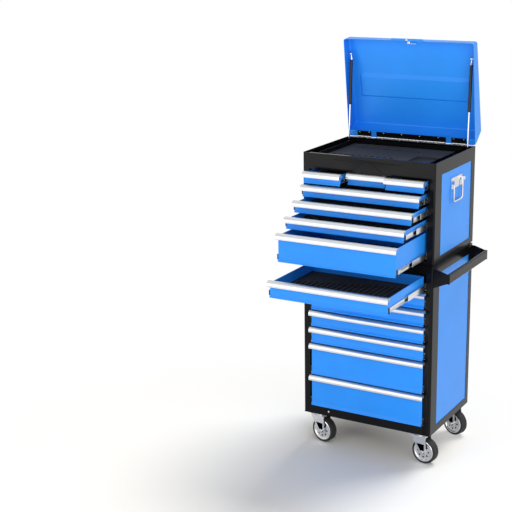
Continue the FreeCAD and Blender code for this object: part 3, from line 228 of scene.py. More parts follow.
class Shape:
    def __init__(self):
        self.points, self.faces = np.zeros((0, 3)), []

    def add(self, points, faces):
        start = len(self.points)
        self.points = np.vstack((self.points, np.asarray(points, float)))
        self.faces += [[start + int(k) for k in face] for face in faces]
        return self

    def carried(self, outline, path, frameAt, closed=False):
        # Point (i, j) = path[i] + outline[j].u * across[i] + outline[j].v * up[i].
        outline, path = np.asarray(outline, float), np.asarray(path, float)
        across, up = frameAt
        points = path[:, None] + outline[None, :, :1] * across[:, None] + outline[None, :, 1:] * up[:, None]
        rows, size = len(path), len(outline)
        i, j = np.meshgrid(np.arange(rows if closed else rows - 1), np.arange(size), indexing="ij")
        i, j = i.ravel(), j.ravel()
        nextRow, nextPoint = (i + 1) % rows, (j + 1) % size
        quads = np.stack((i * size + j, i * size + nextPoint, nextRow * size + nextPoint, nextRow * size + j), 1)
        caps = [] if closed else [range(size), range((rows - 1) * size, rows * size)]
        return self.add(points.reshape(-1, 3), list(quads) + [list(cap) for cap in caps])

    def box(self, low, high):
        # Every choice of low or high on the three axes.
        bits = (np.arange(8)[:, None] >> np.arange(3)) & 1
        corners = np.where(bits, np.asarray(high, float), np.asarray(low, float))
        return self.add(corners, [(0, 2, 3, 1), (4, 5, 7, 6), (0, 1, 5, 4), (1, 3, 7, 5), (3, 2, 6, 7), (2, 0, 4, 6)])

    def swept(self, outline, start, end, axis):
        # The outline pushed along an axis; its two numbers are the other two axes in X, Y, Z order.
        unit = np.eye(3)
        u, v = (unit[k] for k in range(3) if k != axis)
        path = np.outer((start, end), unit[axis])
        return self.carried(outline, path, (np.tile(u, (2, 1)), np.tile(v, (2, 1))))

    def turned(self, profile, centre, along, count=48):
        # Point (i, j) = centre + radius[j] * (cos a, sin a) across the axis + reach[j] along it, a = 2 pi i / count.
        along = Vector(along).normalized()
        side = along.orthogonal().normalized()
        side, up, along = (np.array(v) for v in (side, along.cross(side), along))
        angle = np.arange(count)[:, None] * 2 * np.pi / count
        out = side * np.cos(angle) + up * np.sin(angle)
        path, up = np.tile(np.array(centre), (count, 1)), np.tile(along, (count, 1))
        return self.carried(profile, path, (out, up), closed=True)

    def disc(self, centre, along, radius, length, count=24, edge=0.0):
        # A pin, screw or rivet with a rounded far edge.
        rim = roundedEnd(radius, length, edge) if edge else np.array([(radius, length)])
        profile = np.vstack(([(0, 0), (radius, 0)], rim, [(0, length)]))
        return self.turned(profile, centre, along, count)

    def moved(self, matrix):
        turn = np.array(matrix)
        self.points = self.points @ turn[:3, :3].T + turn[:3, 3]
        return self


def roundedEnd(radius, reach, edge):
    # A quarter circle from the wall to the end face, as (radius, distance).
    angle = np.linspace(0, np.pi / 2, 5)
    return np.stack((radius - edge * (1 - np.cos(angle)), reach - edge * (1 - np.sin(angle))), 1)


def roundedBar(radius, start, end, edge):
    # A bar's profile with both ends rounded.
    far = roundedEnd(radius, end - start, edge)
    near = far[::-1] * (1, -1) + (0, end - start)
    return np.vstack(([(0, 0)], near, far, [(0, end - start)])) + (0, start)


def arc(centre, radius, start, end, count):
    # Points at even angles, in degrees, round the centre.
    angle = np.radians(np.linspace(start, end, count))
    return np.stack((centre[0] + radius * np.cos(angle), centre[1] + radius * np.sin(angle)), 1)


def roundedRectangle(wide, deep, radius, count=5):
    # Four quarter circles joined by straight sides.
    spots = ((1, -1, -90), (1, 1, 0), (-1, 1, 90), (-1, -1, 180))
    return np.vstack([arc((x * (wide / 2 - radius), y * (deep / 2 - radius)), radius, start, start + 90, count)
                      for x, y, start in spots])


def pierced(outlines, thick):
    # A flat plate from its outline and holes, centred on z = 0.
    curve = bpy.data.curves.new("plate_outline", "CURVE")
    curve.dimensions = "2D"
    curve.fill_mode = "BOTH"
    curve.extrude = thick / 2
    for outline in outlines:
        spline = curve.splines.new("POLY")
        spline.points.add(len(outline) - 1)
        flat = np.hstack((outline, np.zeros((len(outline), 1)), np.ones((len(outline), 1))))
        spline.points.foreach_set("co", flat.ravel())
        spline.use_cyclic_u = True
    holder = bpy.data.objects.new("plate_holder", curve)
    bpy.context.scene.collection.objects.link(holder)
    bpy.context.view_layer.update()
    mesh = bpy.data.meshes.new_from_object(holder.evaluated_get(bpy.context.evaluated_depsgraph_get()))
    bpy.data.objects.remove(holder)
    points = np.zeros(len(mesh.vertices) * 3)
    mesh.vertices.foreach_get("co", points)
    return points.reshape(-1, 3), [list(face.vertices) for face in mesh.polygons]


cleaning = dict(merge=2e-6, sliver=1e-6, flat=0.6, sharp=32)  # metres and degrees


def cleaned(mesh, bevel, segments, fresh, change=None):
    # Merges doubles and flat faces, then rounds the sharp edges of closed parts.
    work = bmesh.new()
    work.from_mesh(mesh)
    bmesh.ops.remove_doubles(work, verts=work.verts, dist=cleaning["merge"])
    bmesh.ops.dissolve_degenerate(work, edges=work.edges, dist=cleaning["sliver"])
    bmesh.ops.dissolve_limit(work, angle_limit=math.radians(cleaning["flat"]), verts=work.verts, edges=work.edges)
    if fresh:
        bmesh.ops.recalc_face_normals(work, faces=work.faces)
    if change:
        change(work)
    if bevel:
        sound = {v for v in work.verts if all(len(e.link_faces) == 2 for e in v.link_edges)}
        limit = math.radians(cleaning["sharp"])
        sharp = [e for e in work.edges if set(e.verts) <= sound and e.calc_face_angle(0) > limit]
        bmesh.ops.bevel(work, geom=sharp, offset=bevel, segments=segments, profile=0.5,
                        affect="EDGES", clamp_overlap=True)
    bmesh.ops.triangulate(work, faces=[f for f in work.faces if len(f.verts) > 4])
    work.to_mesh(mesh)
    work.free()


def shaded(mesh, limit):
    # A corner's normal is the sum of normal * area over the faces round its vertex that lie within
    # the limit of its own face, so flats stay flat and bends and rounded edges run smooth.
    faces, corners = len(mesh.polygons), len(mesh.loops)
    normal, area, count, vertex = np.zeros(faces * 3), np.zeros(faces), np.zeros(faces, int), np.zeros(corners, int)
    mesh.polygons.foreach_get("normal", normal)
    mesh.polygons.foreach_get("area", area)
    mesh.polygons.foreach_get("loop_total", count)
    mesh.loops.foreach_get("vertex_index", vertex)
    normal, face = normal.reshape(-1, 3), np.repeat(np.arange(faces), count)
    order = np.argsort(vertex, kind="stable")
    start, around = np.searchsorted(vertex[order], vertex), np.bincount(vertex)[vertex]
    total = np.zeros((corners, 3))
    for step in range(around.max()):
        other = face[order[start + np.minimum(step, around - 1)]]
        near = (normal[face] * normal[other]).sum(1) > math.cos(math.radians(limit))
        total += ((step < around) & near)[:, None] * area[other][:, None] * normal[other]
    mesh.polygons.foreach_set("use_smooth", np.ones(faces, bool))
    mesh.normals_split_custom_set((total / np.maximum(np.linalg.norm(total, axis=1), 1e-12)[:, None]).tolist())


def shown(name, mesh, finish, body, smooth=35):
    # Gives a finished mesh its material, corner normals and body.
    mesh.materials.clear()
    mesh.materials.append(materials[finish])
    shaded(mesh, smooth)
    piece = bpy.data.objects.new(name, mesh)
    bpy.context.scene.collection.objects.link(piece)
    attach(piece, body)
    return piece


def made(name, shape, finish, body, bevel=0.0, segments=2, smooth=35):
    # A new mesh from the points and faces of a shape, with its edges rounded.
    mesh = bpy.data.meshes.new(name)
    mesh.from_pydata(shape.points.tolist(), [], shape.faces)
    cleaned(mesh, bevel, segments, True)
    return shown(name, mesh, finish, body, smooth)


def softened(node, finish, body, bevel=mm(0.35), segments=2, change=None):
    # A CAD node with its sheet edges broken, as a bent and coated sheet has them.
    mesh = frame["nodes"][node].data.copy()
    cleaned(mesh, bevel, segments, False, change)
    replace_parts(shown(node + "_coated", mesh, finish, body), node)


def parted(node, choose, bevel=mm(0.35)):
    # A CAD node carried over with a finish for each of its solids, chosen by the solid's box.
    work = bmesh.new()
    work.from_mesh(frame["nodes"][node].data)
    bmesh.ops.remove_doubles(work, verts=work.verts, dist=cleaning["merge"])
    seen, groups = set(), {}
    for first in work.faces:
        if first in seen:
            continue
        seen.add(first)
        stack, solid, order = [first], [], {}
        while stack:
            face = stack.pop()
            solid.append([order.setdefault(v, len(order)) for v in face.verts])
            near = {other for edge in face.edges for other in edge.link_faces} - seen
            seen |= near
            stack += near
        points = np.array([v.co for v in order])
        finish = choose(points.min(0), points.max(0))
        if finish:
            groups.setdefault(finish, Shape()).add(points, solid)
    work.free()
    for finish, shape in groups.items():
        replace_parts(made(f"{node}_{finish}", shape, finish, frame["nodes"][node]["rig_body"], bevel), node)


# Drawers: their plan is read from the CAD boxes.
drawer = dict(
    sheet=mm(1), foldReach=mm(7), foldTall=mm(14), rowGap=mm(3), panUnder=mm(12), panBelow=mm(7), long=mm(400),
    smallLong=mm(360), hemTall=mm(7), hemThick=mm(2.2), frontIn=mm(2.8), panIn=mm(7.8), smallFrontIn=mm(3),
    smallPanIn=mm(8), foamTall=mm(14), foamFloor=mm(4), foamClear=mm(1), foamEdge=mm(3), slideRise=mm(13),
    slideHalf=mm(10.8), slideReach=mm(7.8), smallHalf=mm(8.4), smallReach=mm(6.4), slideSheet=mm(1.2), slideBack=mm(2),
    stopThick=mm(1.6), stopHalf=mm(13.4), stopReach=mm(12.3), rivets=(0.12, 0.5, 0.86), rivetRound=mm(3.4),
    rivetTall=mm(1.4), rivetEdge=mm(1.2), leverAt=0.64, leverNear=mm(1.3), leverFar=mm(4.2),
    lever=((0, -4), (52, -4), (62, 1), (62, 5), (20, 4), (0, 1)),
)
pull = dict(sheet=mm(2.2), reach=mm(22), tall=mm(26), flange=mm(16), back=mm(4), groove=mm(0.5))


def drawerPlan(name, small):
    # Front plane, heights and widths of a drawer: its CAD box less its gaps.
    d = drawer
    low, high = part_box(name if small else name + "_box")
    frontIn, panIn = (d["smallFrontIn"], d["smallPanIn"]) if small else (d["frontIn"], d["panIn"])
    edge = (low, high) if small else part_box(name + "_pull")
    return dict(name=name, small=small, face=low.y + (pull["reach"] if small else d["foldReach"]),
                foot=low.z - d["rowGap"], top=edge[1].z, front=(low.x + frontIn, high.x - frontIn),
                pan=(low.x + panIn, high.x - panIn), pull=(edge[0].x, edge[1].x),
                long=d["smallLong"] if small else d["long"])


def slotHole(x, y, length, width, upright=False):
    # A long hole with round ends.
    ends = np.vstack((arc((length / 2 - width / 2, 0), width / 2, -90, 90, 9),
                      arc((-length / 2 + width / 2, 0), width / 2, 90, 270, 9)))
    return (ends[:, ::-1] if upright else ends) + (x, y)


def foamHoles(kind, wide, deep, rng):
    # Generic recesses of a foam bed: slots for long pieces, rows of rounds, and trays.
    edge, holes = mm(18), []
    inside = wide - 2 * edge
    if kind == "slots":
        count = int(inside / mm(26))
        for k in range(count):
            share = 0.55 + 0.4 * k / count
            x = -wide / 2 + edge + (k + 0.5) * inside / count
            y, width = -deep * (0.94 - share) / 2 + mm(4), mm(11 + 5 * k / count)
            holes.append(slotHole(x, y, deep * share * 0.9, width, True))
    if kind == "rounds":
        for row, size in enumerate((13, 16, 19, 24)):
            y = -deep / 2 + edge + mm(12) + row * mm(40)
            holes += [arc((-wide / 2 + edge + mm(size) / 2 + k * mm(size + 9), y), mm(size) / 2, 0, 345, 24)
                      for k in range(int(wide * 0.62 / mm(size + 9)))]
        holes.append(roundedRectangle(wide * 0.22, deep * 0.5, mm(12)) + (wide * 0.34, -deep * 0.18))
        holes += [slotHole(-wide * 0.12, deep * 0.3, wide * 0.6, mm(22)),
                  slotHole(-wide * 0.12, deep * 0.42, wide * 0.5, mm(16))]
    if kind == "pairs":
        count = int(inside / mm(46))
        for k in range(count):
            x = -wide / 2 + edge + (k + 0.5) * inside / count
            holes += [slotHole(x, -deep * 0.26, deep * 0.34, mm(26), True),
                      slotHole(x, deep * 0.2, deep * rng.uniform(0.3, 0.46), mm(10), True)]
    if kind == "trays":
        count = 4 if wide > 0.3 else 2
        pitch = inside / count
        for k in range(count):
            x = -wide / 2 + edge + (k + 0.5) * pitch
            holes += [roundedRectangle(pitch - mm(16), deep * 0.46, mm(14)) + (x, -deep * 0.2),
                      slotHole(x, deep * 0.22, pitch - mm(30), mm(24)),
                      slotHole(x, deep * 0.38, pitch - mm(30), mm(18))]
    return holes


def foamSheet(name, body, low, high, floor, kind, seed):
    # A slab with a pierced upper layer, so that every recess has real walls and a floor.
    low, high = np.array(low), np.array(high)
    wide, deep, tall = high - low
    holes = foamHoles(kind, wide, deep, np.random.default_rng(seed))
    points, faces = pierced([roundedRectangle(wide, deep, drawer["foamEdge"])] + holes, tall - floor)
    middle = (low + high) / 2 + (0, 0, floor / 2)
    made(name, Shape().add(points + middle, faces), "foam", body, 0, 1)
    bed = Shape().box(low, (high[0], high[1], low[2] + floor + mm(0.05)))
    made(name + "_bed", bed, "foamBed", body, mm(0.5))


def slideMember(plane, side, z, half, reach):
    # Section of a drawer's own slide member: a web on the drawer side, lips turned outwards.
    t = drawer["slideSheet"]
    half = np.array([(0, -half), (reach, -half), (reach, -half + t), (t * 1.6, -half + t), (t, -half + t * 1.6)])
    return np.vstack((half, half[::-1] * (1, -1))) * (side, 1) + (plane, z)


def makePull(plan):
    # Quarter-round extrusion with a fine groove along its foot.
    p, face, top = pull, plan["face"], plan["top"]
    s, bend, nose, foot = p["sheet"], p["reach"] - p["sheet"], face - p["reach"], top - p["tall"]
    centre, g = (face - s, top - bend), p["groove"]
    outline = np.vstack((
        [(face + p["back"], top)], arc(centre, bend, 90, 180, 15),
        [(nose, foot + 7 * g), (nose + g, foot + 6 * g), (nose, foot + 5 * g), (nose, foot + g), (nose + g, foot)],
        [(nose + s, foot)], arc(centre, bend - s, 180, 90, 13),
        [(face - s, top - p["flange"]), (face, top - p["flange"]), (face, top - s), (face + p["back"], top - s)]))
    bar = Shape().swept(outline, *plan["pull"], 0)
    piece = made(plan["name"] + "_extrusion", bar, "aluminium", plan["name"], mm(0.25), 1, 28)
    if not plan["small"]:
        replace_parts(piece, plan["name"] + "_pull")


def makeDrawer(plan, kind, seed):
    # Sections of the sheet, pushed along Y for the pan and along X for the front.
    d, name, small = drawer, plan["name"], plan["small"]
    face, foot, top, long = (plan[key] for key in ("face", "foot", "top", "long"))
    (xa, xb), (pa, pb) = plan["front"], plan["pan"]
    start, panFoot, panTop = face + d["sheet"], foot + d["panUnder"], top - d["panBelow"]
    t, hem, thick = d["sheet"], d["hemTall"], d["hemThick"]
    # pan with hemmed side edges, and its back plate
    half = np.array([(pa, panFoot), (pa, panTop), (pa + thick, panTop), (pa + thick, panTop - hem),
                     (pa + t, panTop - hem), (pa + t, panFoot + t)])
    outline = np.vstack((half, half[::-1] * (-1, 1) + (pa + pb, 0)))
    pan = Shape().swept(outline, start, start + long, 1)
    pan.box((pa + t, start + long - thick, panFoot + t), (pb - t, start + long, panTop - mm(1)))
    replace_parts(made(name + "_pan", pan, "drawerBlue", name, mm(0.3)), name if small else name + "_box")
    # front with its outward fold
    low, upper, r = foot + d["rowGap"], top - pull["sheet"], d["foldReach"]
    fold = low + d["foldTall"]
    outline = [(face + t, upper), (face, upper), (face, fold + mm(4)), (face - mm(1.2), fold + mm(2)),
               (face - mm(1.2), fold),
               (face - r + mm(1), low + mm(5.6)), (face - r, low + mm(4.4)), (face - r, low), (face - r + t, low),
               (face - r + t, low + mm(4)), (face - mm(0.2), fold - mm(1.6)), (face + t, fold)]
    made(name + "_front", Shape().swept(outline, xa, xb, 0), "drawerBlue", name, mm(0.4))
    # the drawer's slide members, with rivets, and in black their release levers and front stops; the stops, partly
    # real, also darken the gap beside the front as painted shade
    half, reach = (d["smallHalf"], d["smallReach"]) if small else (d["slideHalf"], d["slideReach"])
    z = panFoot + d["slideRise"]
    members, levers = Shape(), Shape()
    for plane, side in ((pa, -1), (pb, 1)):
        back = start + d["slideBack"]
        members.swept(slideMember(plane, side, z, half, reach), back, back + long, 1)
        for share in d["rivets"]:
            spot = (plane + side * d["slideSheet"], start + long * share, z)
            members.disc(spot, (side, 0, 0), d["rivetRound"], d["rivetTall"], 16, d["rivetEdge"])
        lever = np.array(d["lever"]) * 0.001 + (start + long * d["leverAt"], z)
        levers.swept(lever, *sorted((plane + side * d["leverNear"], plane + side * d["leverFar"])), 0)
        if not small:
            # front stop: a black plate over the slide's front end, partly a real stop and partly painted shade for the
            # gap between post and front
            near, far = sorted((plane, plane + side * d["stopReach"]))
            levers.box((near, start, z - d["stopHalf"]), (far, start + d["stopThick"], z + d["stopHalf"]))
    made(name + "_inner_members", members, "zinc", name, mm(0.25))
    made(name + "_levers", levers, "plastic", name, mm(0.6))
    inset = t + d["foamClear"]
    foamSheet(name + "_foam", name, (pa + inset, start + d["foamClear"], panFoot + t),
              (pb - inset, start + long - thick - d["foamClear"], panFoot + t + d["foamTall"]),
              d["foamFloor"], kind, seed)
    makePull(plan)


smallKinds = dict(left="rounds", middle="trays", right="pairs")
for number, (side, kind) in enumerate(smallKinds.items()):
    makeDrawer(drawerPlan("small_drawer_" + side, True), kind, 11 + number)
wideKinds = dict(chest=("slots", "rounds", "pairs", "trays"),
                 cabinet=("slots", "rounds", "pairs", "trays", "rounds", "trays", "trays"))
for unit, kinds in wideKinds.items():
    for number, kind in enumerate(kinds, 1):
        name = f"{unit}_drawer_{number}"
        makeDrawer(drawerPlan(name, False), kind, 31 + number)
        softened(name + "_runners", "zinc", name + "_runners", mm(0.3))
print("drawers ready")

# Places: x from the middle, y from the front plane, z from the floor, in millimetres.
frontLow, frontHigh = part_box("cabinet_frame")
middleX = (frontLow.x + frontHigh.x) / 2


def at(x, y, z):
    return Vector((middleX + mm(x), frontLow.y + mm(y), mm(z)))


# Frames, with the shallow fields pressed into their upper rails
press = dict(deep=mm(1.1), slope=mm(3), railWide=0.4,
             chest=dict(z=(1402, 1444), top=(8, 178), foot=(72, 166)),
             cabinet=dict(z=(954, 983), top=(77, 204), foot=(109, 176)))


def pressFields(unit):
    # Two tapering fields, mirrored about the middle, set into the flat face of the rail.
    (low, high), (ta, tb), (fa, fb) = (press[unit][key] for key in ("z", "top", "foot"))

    def change(work):
        for face in list(work.faces):
            spots = [v.co for v in face.verts]
            wide = max(p.x for p in spots) - min(p.x for p in spots)
            flat = face.normal.y < -0.99 and abs(spots[0].y - frontLow.y) < mm(0.2)
            heights = [p.z for p in spots]
            if not (flat and wide > press["railWide"] and min(heights) < mm(low) and max(heights) > mm(high)):
                continue
            loops = [list(face.verts)]
            for side in (1, -1):
                mouth = [at(side * ta, 0, high), at(side * tb, 0, high), at(side * fb, 0, low), at(side * fa, 0, low)]
                centre = sum(mouth, Vector()) / 4
                bed = [p + Vector((math.copysign(press["slope"], centre.x - p.x), press["deep"],
                                   math.copysign(press["slope"] * 0.6, centre.z - p.z))) for p in mouth]
                mouth, bed = ([work.verts.new((p.x, p.y + face.verts[0].co.y - frontLow.y, p.z)) for p in ring]
                              for ring in (mouth, bed))
                loops.append(mouth)
                work.faces.new(bed)
                for k in range(4):
                    work.faces.new((mouth[k], mouth[(k + 1) % 4], bed[(k + 1) % 4], bed[k]))
            order = [v for loop in loops for v in loop]
            work.faces.remove(face)
            for triangle in tessellate_polygon([[v.co for v in loop] for loop in loops]):
                work.faces.new([order[k] for k in triangle])
            print("fields pressed into", unit)
        bmesh.ops.recalc_face_normals(work, faces=work.faces)
    return change


for unit in ("cabinet", "chest"):
    softened(unit + "_frame", "black", root, change=pressFields(unit))
for node, finish in (("slide_rails", "zinc"), ("side_handle", "black"), ("cabinet_panels", "blue"),
                     ("caster_plates", "zinc")):
    softened(node, finish, root)
bail = dict(face=333.5, sheet=2, middle=260, z=(1311, 1363), rivetY=40, rivetIn=7, round=mm(3), tall=mm(1.2),
            edge=mm(1), plateLong=0.15, plateTall=0.08,
            rim=dict(low=1237, high=1373, half=77, corner=14, wide=4, proud=mm(1.2)))


def panelPart(low, high):
    # The bail plates are the small solids among the chest's panels.
    small = high[1] - low[1] < bail["plateLong"] and high[2] - low[2] < bail["plateTall"]
    return "chrome" if small else "blue"


parted("chest_panels", panelPart)
for side in ("left", "right"):
    softened("bail_" + side, "chrome", "bail_" + side, mm(0.6), 3)


def bailTrim(b):
    # Rivets of the plates, and the raised rim pressed into each side panel round plate and bail.
    rivets, rims, rim = Shape(), Shape(), b["rim"]
    tall, wide = mm(rim["high"] - rim["low"]), mm(2 * rim["half"])
    inset = mm(2 * rim["wide"])
    rings = [roundedRectangle(wide, tall, mm(rim["corner"])),
             roundedRectangle(wide - inset, tall - inset, mm(rim["corner"] - rim["wide"]))]
    points, faces = pierced(rings, rim["proud"])
    for side in (-1, 1):
        for y in (-b["rivetY"], b["rivetY"]):
            for z in (b["z"][0] + b["rivetIn"], b["z"][1] - b["rivetIn"]):
                spot = at(side * (b["face"] + b["sheet"]), b["middle"] + y, z)
                rivets.disc(spot, (side, 0, 0), b["round"], b["tall"], 20, b["edge"])
        centre = at(side * b["face"], b["middle"], (rim["low"] + rim["high"]) / 2)
        centre += Vector((side * rim["proud"] / 2, 0, 0))
        rims.add(points[:, (2, 0, 1)] + np.array(centre), faces)
    made("bail_rivets", rivets, "zinc", root)
    made("bail_rims", rims, "blue", root, mm(0.5))


bailTrim(bail)
screw = dict(place=(-199, 0, 178), round=mm(4.5), tall=mm(2), edge=mm(1.6))
screwHead = Shape().disc(at(*screw["place"]), (0, -1, 0), screw["round"], screw["tall"], 24, screw["edge"])
made("base_rail_screw", screwHead, "zinc", root)
print("frames ready")

# Top compartment
tray = dict(foot=1392.5, foamTall=44, foamLayer=14, foamFloor=mm(6), inset=2, half=288, near=20, far=459.5)
parted("till_tray", lambda low, high: None if abs(low[2] - mm(tray["foot"])) < mm(0.2) else "black")
foamHalf, foamTop = tray["half"] - tray["inset"], tray["foot"] + tray["foamTall"]
foamSheet("till_foam", root,
          at(-foamHalf, tray["near"] + tray["inset"], foamTop - tray["foamLayer"]),
          at(foamHalf, tray["far"] - tray["inset"], foamTop), tray["foamFloor"], "rounds", 5)
print("till ready")

# Lid: a pressed shell with rounded edges, drawn closed and then turned open about its hinge.
lid = dict(half=335, edge=1467, front=57, rear=90, slant=45, heel=22, deep=490, sheet=1.2, hinge=1469, open=-82.5,
           round=11, steps=7, press=(181, 305), pressHalf=290, pressDeep=8, ease=10, easeWide=22, hemTall=7,
           hemThick=2.5, flangeZ=1472, flangeWide=28, tabHalf=88, tabReach=12, hemSide=(14, 476), hemFront=(52, 322),
           shellWide=0.5, leafWide=0.05)
hinge = at(0, lid["deep"], lid["hinge"])
lidTurn = Matrix.Translation(hinge) @ Matrix.Rotation(math.radians(lid["open"]), 4, "X") @ Matrix.Translation(-hinge)


def lidSection(inward):
    # The section from the front edge over the top to the rear edge, moved inward, its corners rounded by arcs.
    c = lid
    corners = np.array([(0, c["edge"]), (0, c["edge"] + c["front"]), (c["deep"] - c["slant"], c["edge"] + c["rear"]),
                        (c["deep"], c["edge"] + c["heel"]), (c["deep"], c["edge"])], float)
    ways = np.diff(corners, axis=0)
    ways /= np.linalg.norm(ways, axis=1)[:, None]
    normals = np.stack((ways[:, 1], -ways[:, 0]), 1)
    bisect = (normals[:-1] + normals[1:]) / (1 + (normals[:-1] * normals[1:]).sum(1))[:, None]
    bends = corners[1:4] + bisect * inward
    radius = max(c["round"] - inward, 0.6)
    parts = [corners[:1] + normals[0] * inward]
    for k in range(3):
        turn = math.acos(ways[k] @ ways[k + 1])
        centre = bends[k] - ways[k] * radius * math.tan(turn / 2) + normals[k] * radius
        angle = np.linspace(0, turn, c["steps"])[:, None]
        parts.append(centre + radius * (ways[k] * np.sin(angle) - normals[k] * np.cos(angle)))
        if k == 0:
            low, high = c["press"]
            runs = np.concatenate((np.linspace(low, low + c["easeWide"], 9), np.linspace(high - c["ease"], high, 7)))
            start, end = parts[-1][-1], bends[1]
            parts.append(start + (end - start) * ((runs - start[0]) / (end[0] - start[0]))[:, None])
    parts.append(corners[4:] + normals[3] * inward)
    return np.vstack(parts), normals[1]


def eased(distance, run=lid["ease"]):
    # A smooth step from 0 to 1 over the run.
    share = np.clip(distance / run, 0, 1)
    return share * share * (3 - 2 * share)


def lidSurface(extra):
    # Rows of sections from the left cap to the right cap, rolled in at both ends.
    # extra is the depth inside the sheet.
    c = lid
    angle = np.linspace(np.pi / 2, 0, c["steps"])
    capX = c["half"] - c["round"] + (c["round"] - extra) * np.sin(angle)
    capIn = extra + (c["round"] - extra) * (1 - np.cos(angle))
    fieldX = np.linspace(c["pressHalf"], c["pressHalf"] - c["ease"], 7)
    x = np.concatenate((capX, fieldX))
    inward = np.concatenate((capIn, np.full(7, extra)))
    x, inward = np.concatenate((-x, x[::-1])), np.concatenate((inward, inward[::-1]))
    sections = [lidSection(depth) for depth in inward]
    yz, normal = np.stack([section for section, top in sections]), sections[0][1]
    y, z = yz[..., 0], yz[..., 1]
    low, high = c["press"]
    top = z > c["edge"] + c["front"] - 15
    across = eased(c["pressHalf"] - np.abs(x))[:, None]
    sunk = c["pressDeep"] * across * eased(y - low, c["easeWide"]) * eased(high - y) * top
    points = np.stack((np.broadcast_to(x[:, None], y.shape), y + normal[0] * sunk, z + normal[1] * sunk), -1)
    return points * 0.001 + (middleX, frontLow.y, 0)


def lidShell():
    # The outer and the inner surface, each with its end caps, joined by a strip round the open rim.
    outer, inner = lidSurface(0), lidSurface(lid["sheet"])
    rows, size = outer.shape[:2]
    count = rows * size
    grid = np.arange(count).reshape(rows, size)
    quads = np.stack((grid[:-1, :-1], grid[1:, :-1], grid[1:, 1:], grid[:-1, 1:]), -1).reshape(-1, 4)
    caps = [list(grid[0]), list(grid[-1])]
    rim = np.concatenate((grid[:, 0], grid[::-1, -1]))
    after = np.roll(rim, -1)
    edge = np.stack((rim, after, after + count, rim + count), 1)
    inside = [[k + count for k in face] for face in list(quads) + caps]
    points = np.vstack((outer.reshape(-1, 3), inner.reshape(-1, 3)))
    return Shape().add(points, list(quads) + caps + inside + list(edge))


shell = lidShell()
inner, wall = lid["half"] - lid["sheet"], lid["deep"] - lid["sheet"]
shell.box(at(-inner, wall - lid["flangeWide"], lid["flangeZ"]), at(inner, wall, lid["flangeZ"] + lid["sheet"]))
tabEnds = np.array([(lid["tabHalf"], 1.2), (lid["tabHalf"] - 6, -9), (lid["tabHalf"] - 10, -lid["tabReach"])])
points, faces = pierced([np.vstack((tabEnds, tabEnds[::-1] * (-1, 1))) * 0.001], mm(lid["sheet"]))
shell.add(points + np.array(at(0, 0, lid["edge"] + lid["sheet"] / 2)), faces)
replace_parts(made("lid_shell", shell.moved(lidTurn), "blue", "lid", 0, 1, 40), "lid")
hem, tall, thick = Shape(), lid["edge"] + lid["hemTall"], lid["hemThick"]
for side in (-1, 1):
    start, end = lid["hemSide"]
    hem.box(at(side * inner - thick / 2, start, lid["edge"]), at(side * inner + thick / 2, end, tall))
    near, far = sorted(side * x for x in lid["hemFront"])
    hem.box(at(near, 0, lid["edge"]), at(far, thick, tall))
made("lid_hem", hem.moved(lidTurn), "blue", "lid", mm(0.5))
plate = dict(wide=11, near=-10.5, far=-1.5, thick=1.6, studs=3)
low = at(-plate["wide"] / 2, plate["near"], lid["edge"] - plate["thick"])
high = at(plate["wide"] / 2, plate["far"], lid["edge"])
tabPlate = Shape().box(low, high)
for x in (-plate["studs"], plate["studs"]):
    tabPlate.disc(at(x, -6, lid["edge"] - plate["thick"]), (0, 0, -1), mm(1.6), mm(0.7), 16, mm(0.5))
made("lid_tab_plate", tabPlate.moved(lidTurn), "chrome", "lid", mm(0.3))


def lidPart(low, high):
    # The shell is drawn anew, the leaves are black, and the studs are plated.
    wide = high[0] - low[0]
    return None if wide > lid["shellWide"] else "black" if wide > lid["leafWide"] else "chrome"


parted("lid", lidPart, mm(0.2))
parted("lid_hinges", lambda low, high: "chrome" if high[1] - low[1] < mm(3.2) else "black", mm(0.2))
rivet = dict(radius=mm(3.4), tall=mm(1.3), edge=mm(1.2), spots=(-276, -224, -145, -48, 48, 145, 224, 276), y=469,
             lidFace=1470.8, chestFace=1467.2)
upper, lower = Shape(), Shape()
for x in rivet["spots"]:
    for heads, face, way in ((upper, "lidFace", -1), (lower, "chestFace", 1)):
        heads.disc(at(x, rivet["y"], rivet[face]), (0, 0, way), rivet["radius"], rivet["tall"], 20, rivet["edge"])
made("lid_leaf_rivets", upper.moved(lidTurn), "chrome", "lid")
made("chest_leaf_rivets", lower, "chrome", root)
# Painted highlight: plated sleeves on the black hinge knuckles stand in for the knuckles' shine, by turns on the lid's
# leaves and on the chest's
knuckle = dict(long=19, gap=1.6, round=mm(3.06), bore=mm(1.5), leaves=((-250, 76), (0, 368), (250, 76)))
knuckleGlints = [Shape(), Shape()]
for middle, length in knuckle["leaves"]:
    count = int(length / knuckle["long"])
    for number in range(count):
        start = middle + (number - count / 2) * knuckle["long"] + knuckle["gap"] / 2
        reach = mm(knuckle["long"] - knuckle["gap"])
        ring = [(knuckle["bore"], 0), (knuckle["round"], 0), (knuckle["round"], reach), (knuckle["bore"], reach)]
        knuckleGlints[number % 2].turned(ring, at(start, lid["deep"], lid["hinge"]), (1, 0, 0), 16)
made("chest_knuckle_sleeves", knuckleGlints[0], "chrome", root)
made("lid_knuckle_sleeves", knuckleGlints[1], "chrome", "lid")
keyhole = dict(face=-2, plug=mm(7), plugTall=mm(0.6), edge=mm(0.4), half=(0.9, 4.0), lid=lid["edge"] + 26, cabinet=964)
for unit, turn in (("lid", lidTurn), ("cabinet", Matrix.Identity(4))):
    k, name, z = keyhole, unit + "_lock", keyhole[unit]
    softened(name, "chrome", name, mm(0.6), 3)
    plug = Shape().disc(at(0, k["face"], z), (0, -1, 0), k["plug"], k["plugTall"], 32, k["edge"])
    made(name + "_plug", plug.moved(turn), "zinc", name)
    wide, tall = k["half"]
    # the keyhole is a thin black plate proud of the plug: painted shade standing in for the dark slot
    keyholeShade = Shape().box(at(-wide, k["face"] - 0.8, z - tall), at(wide, k["face"] - 0.4, z + tall))
    made(name + "_keyhole", keyholeShade.moved(turn), "plastic", name)
print("lid ready")

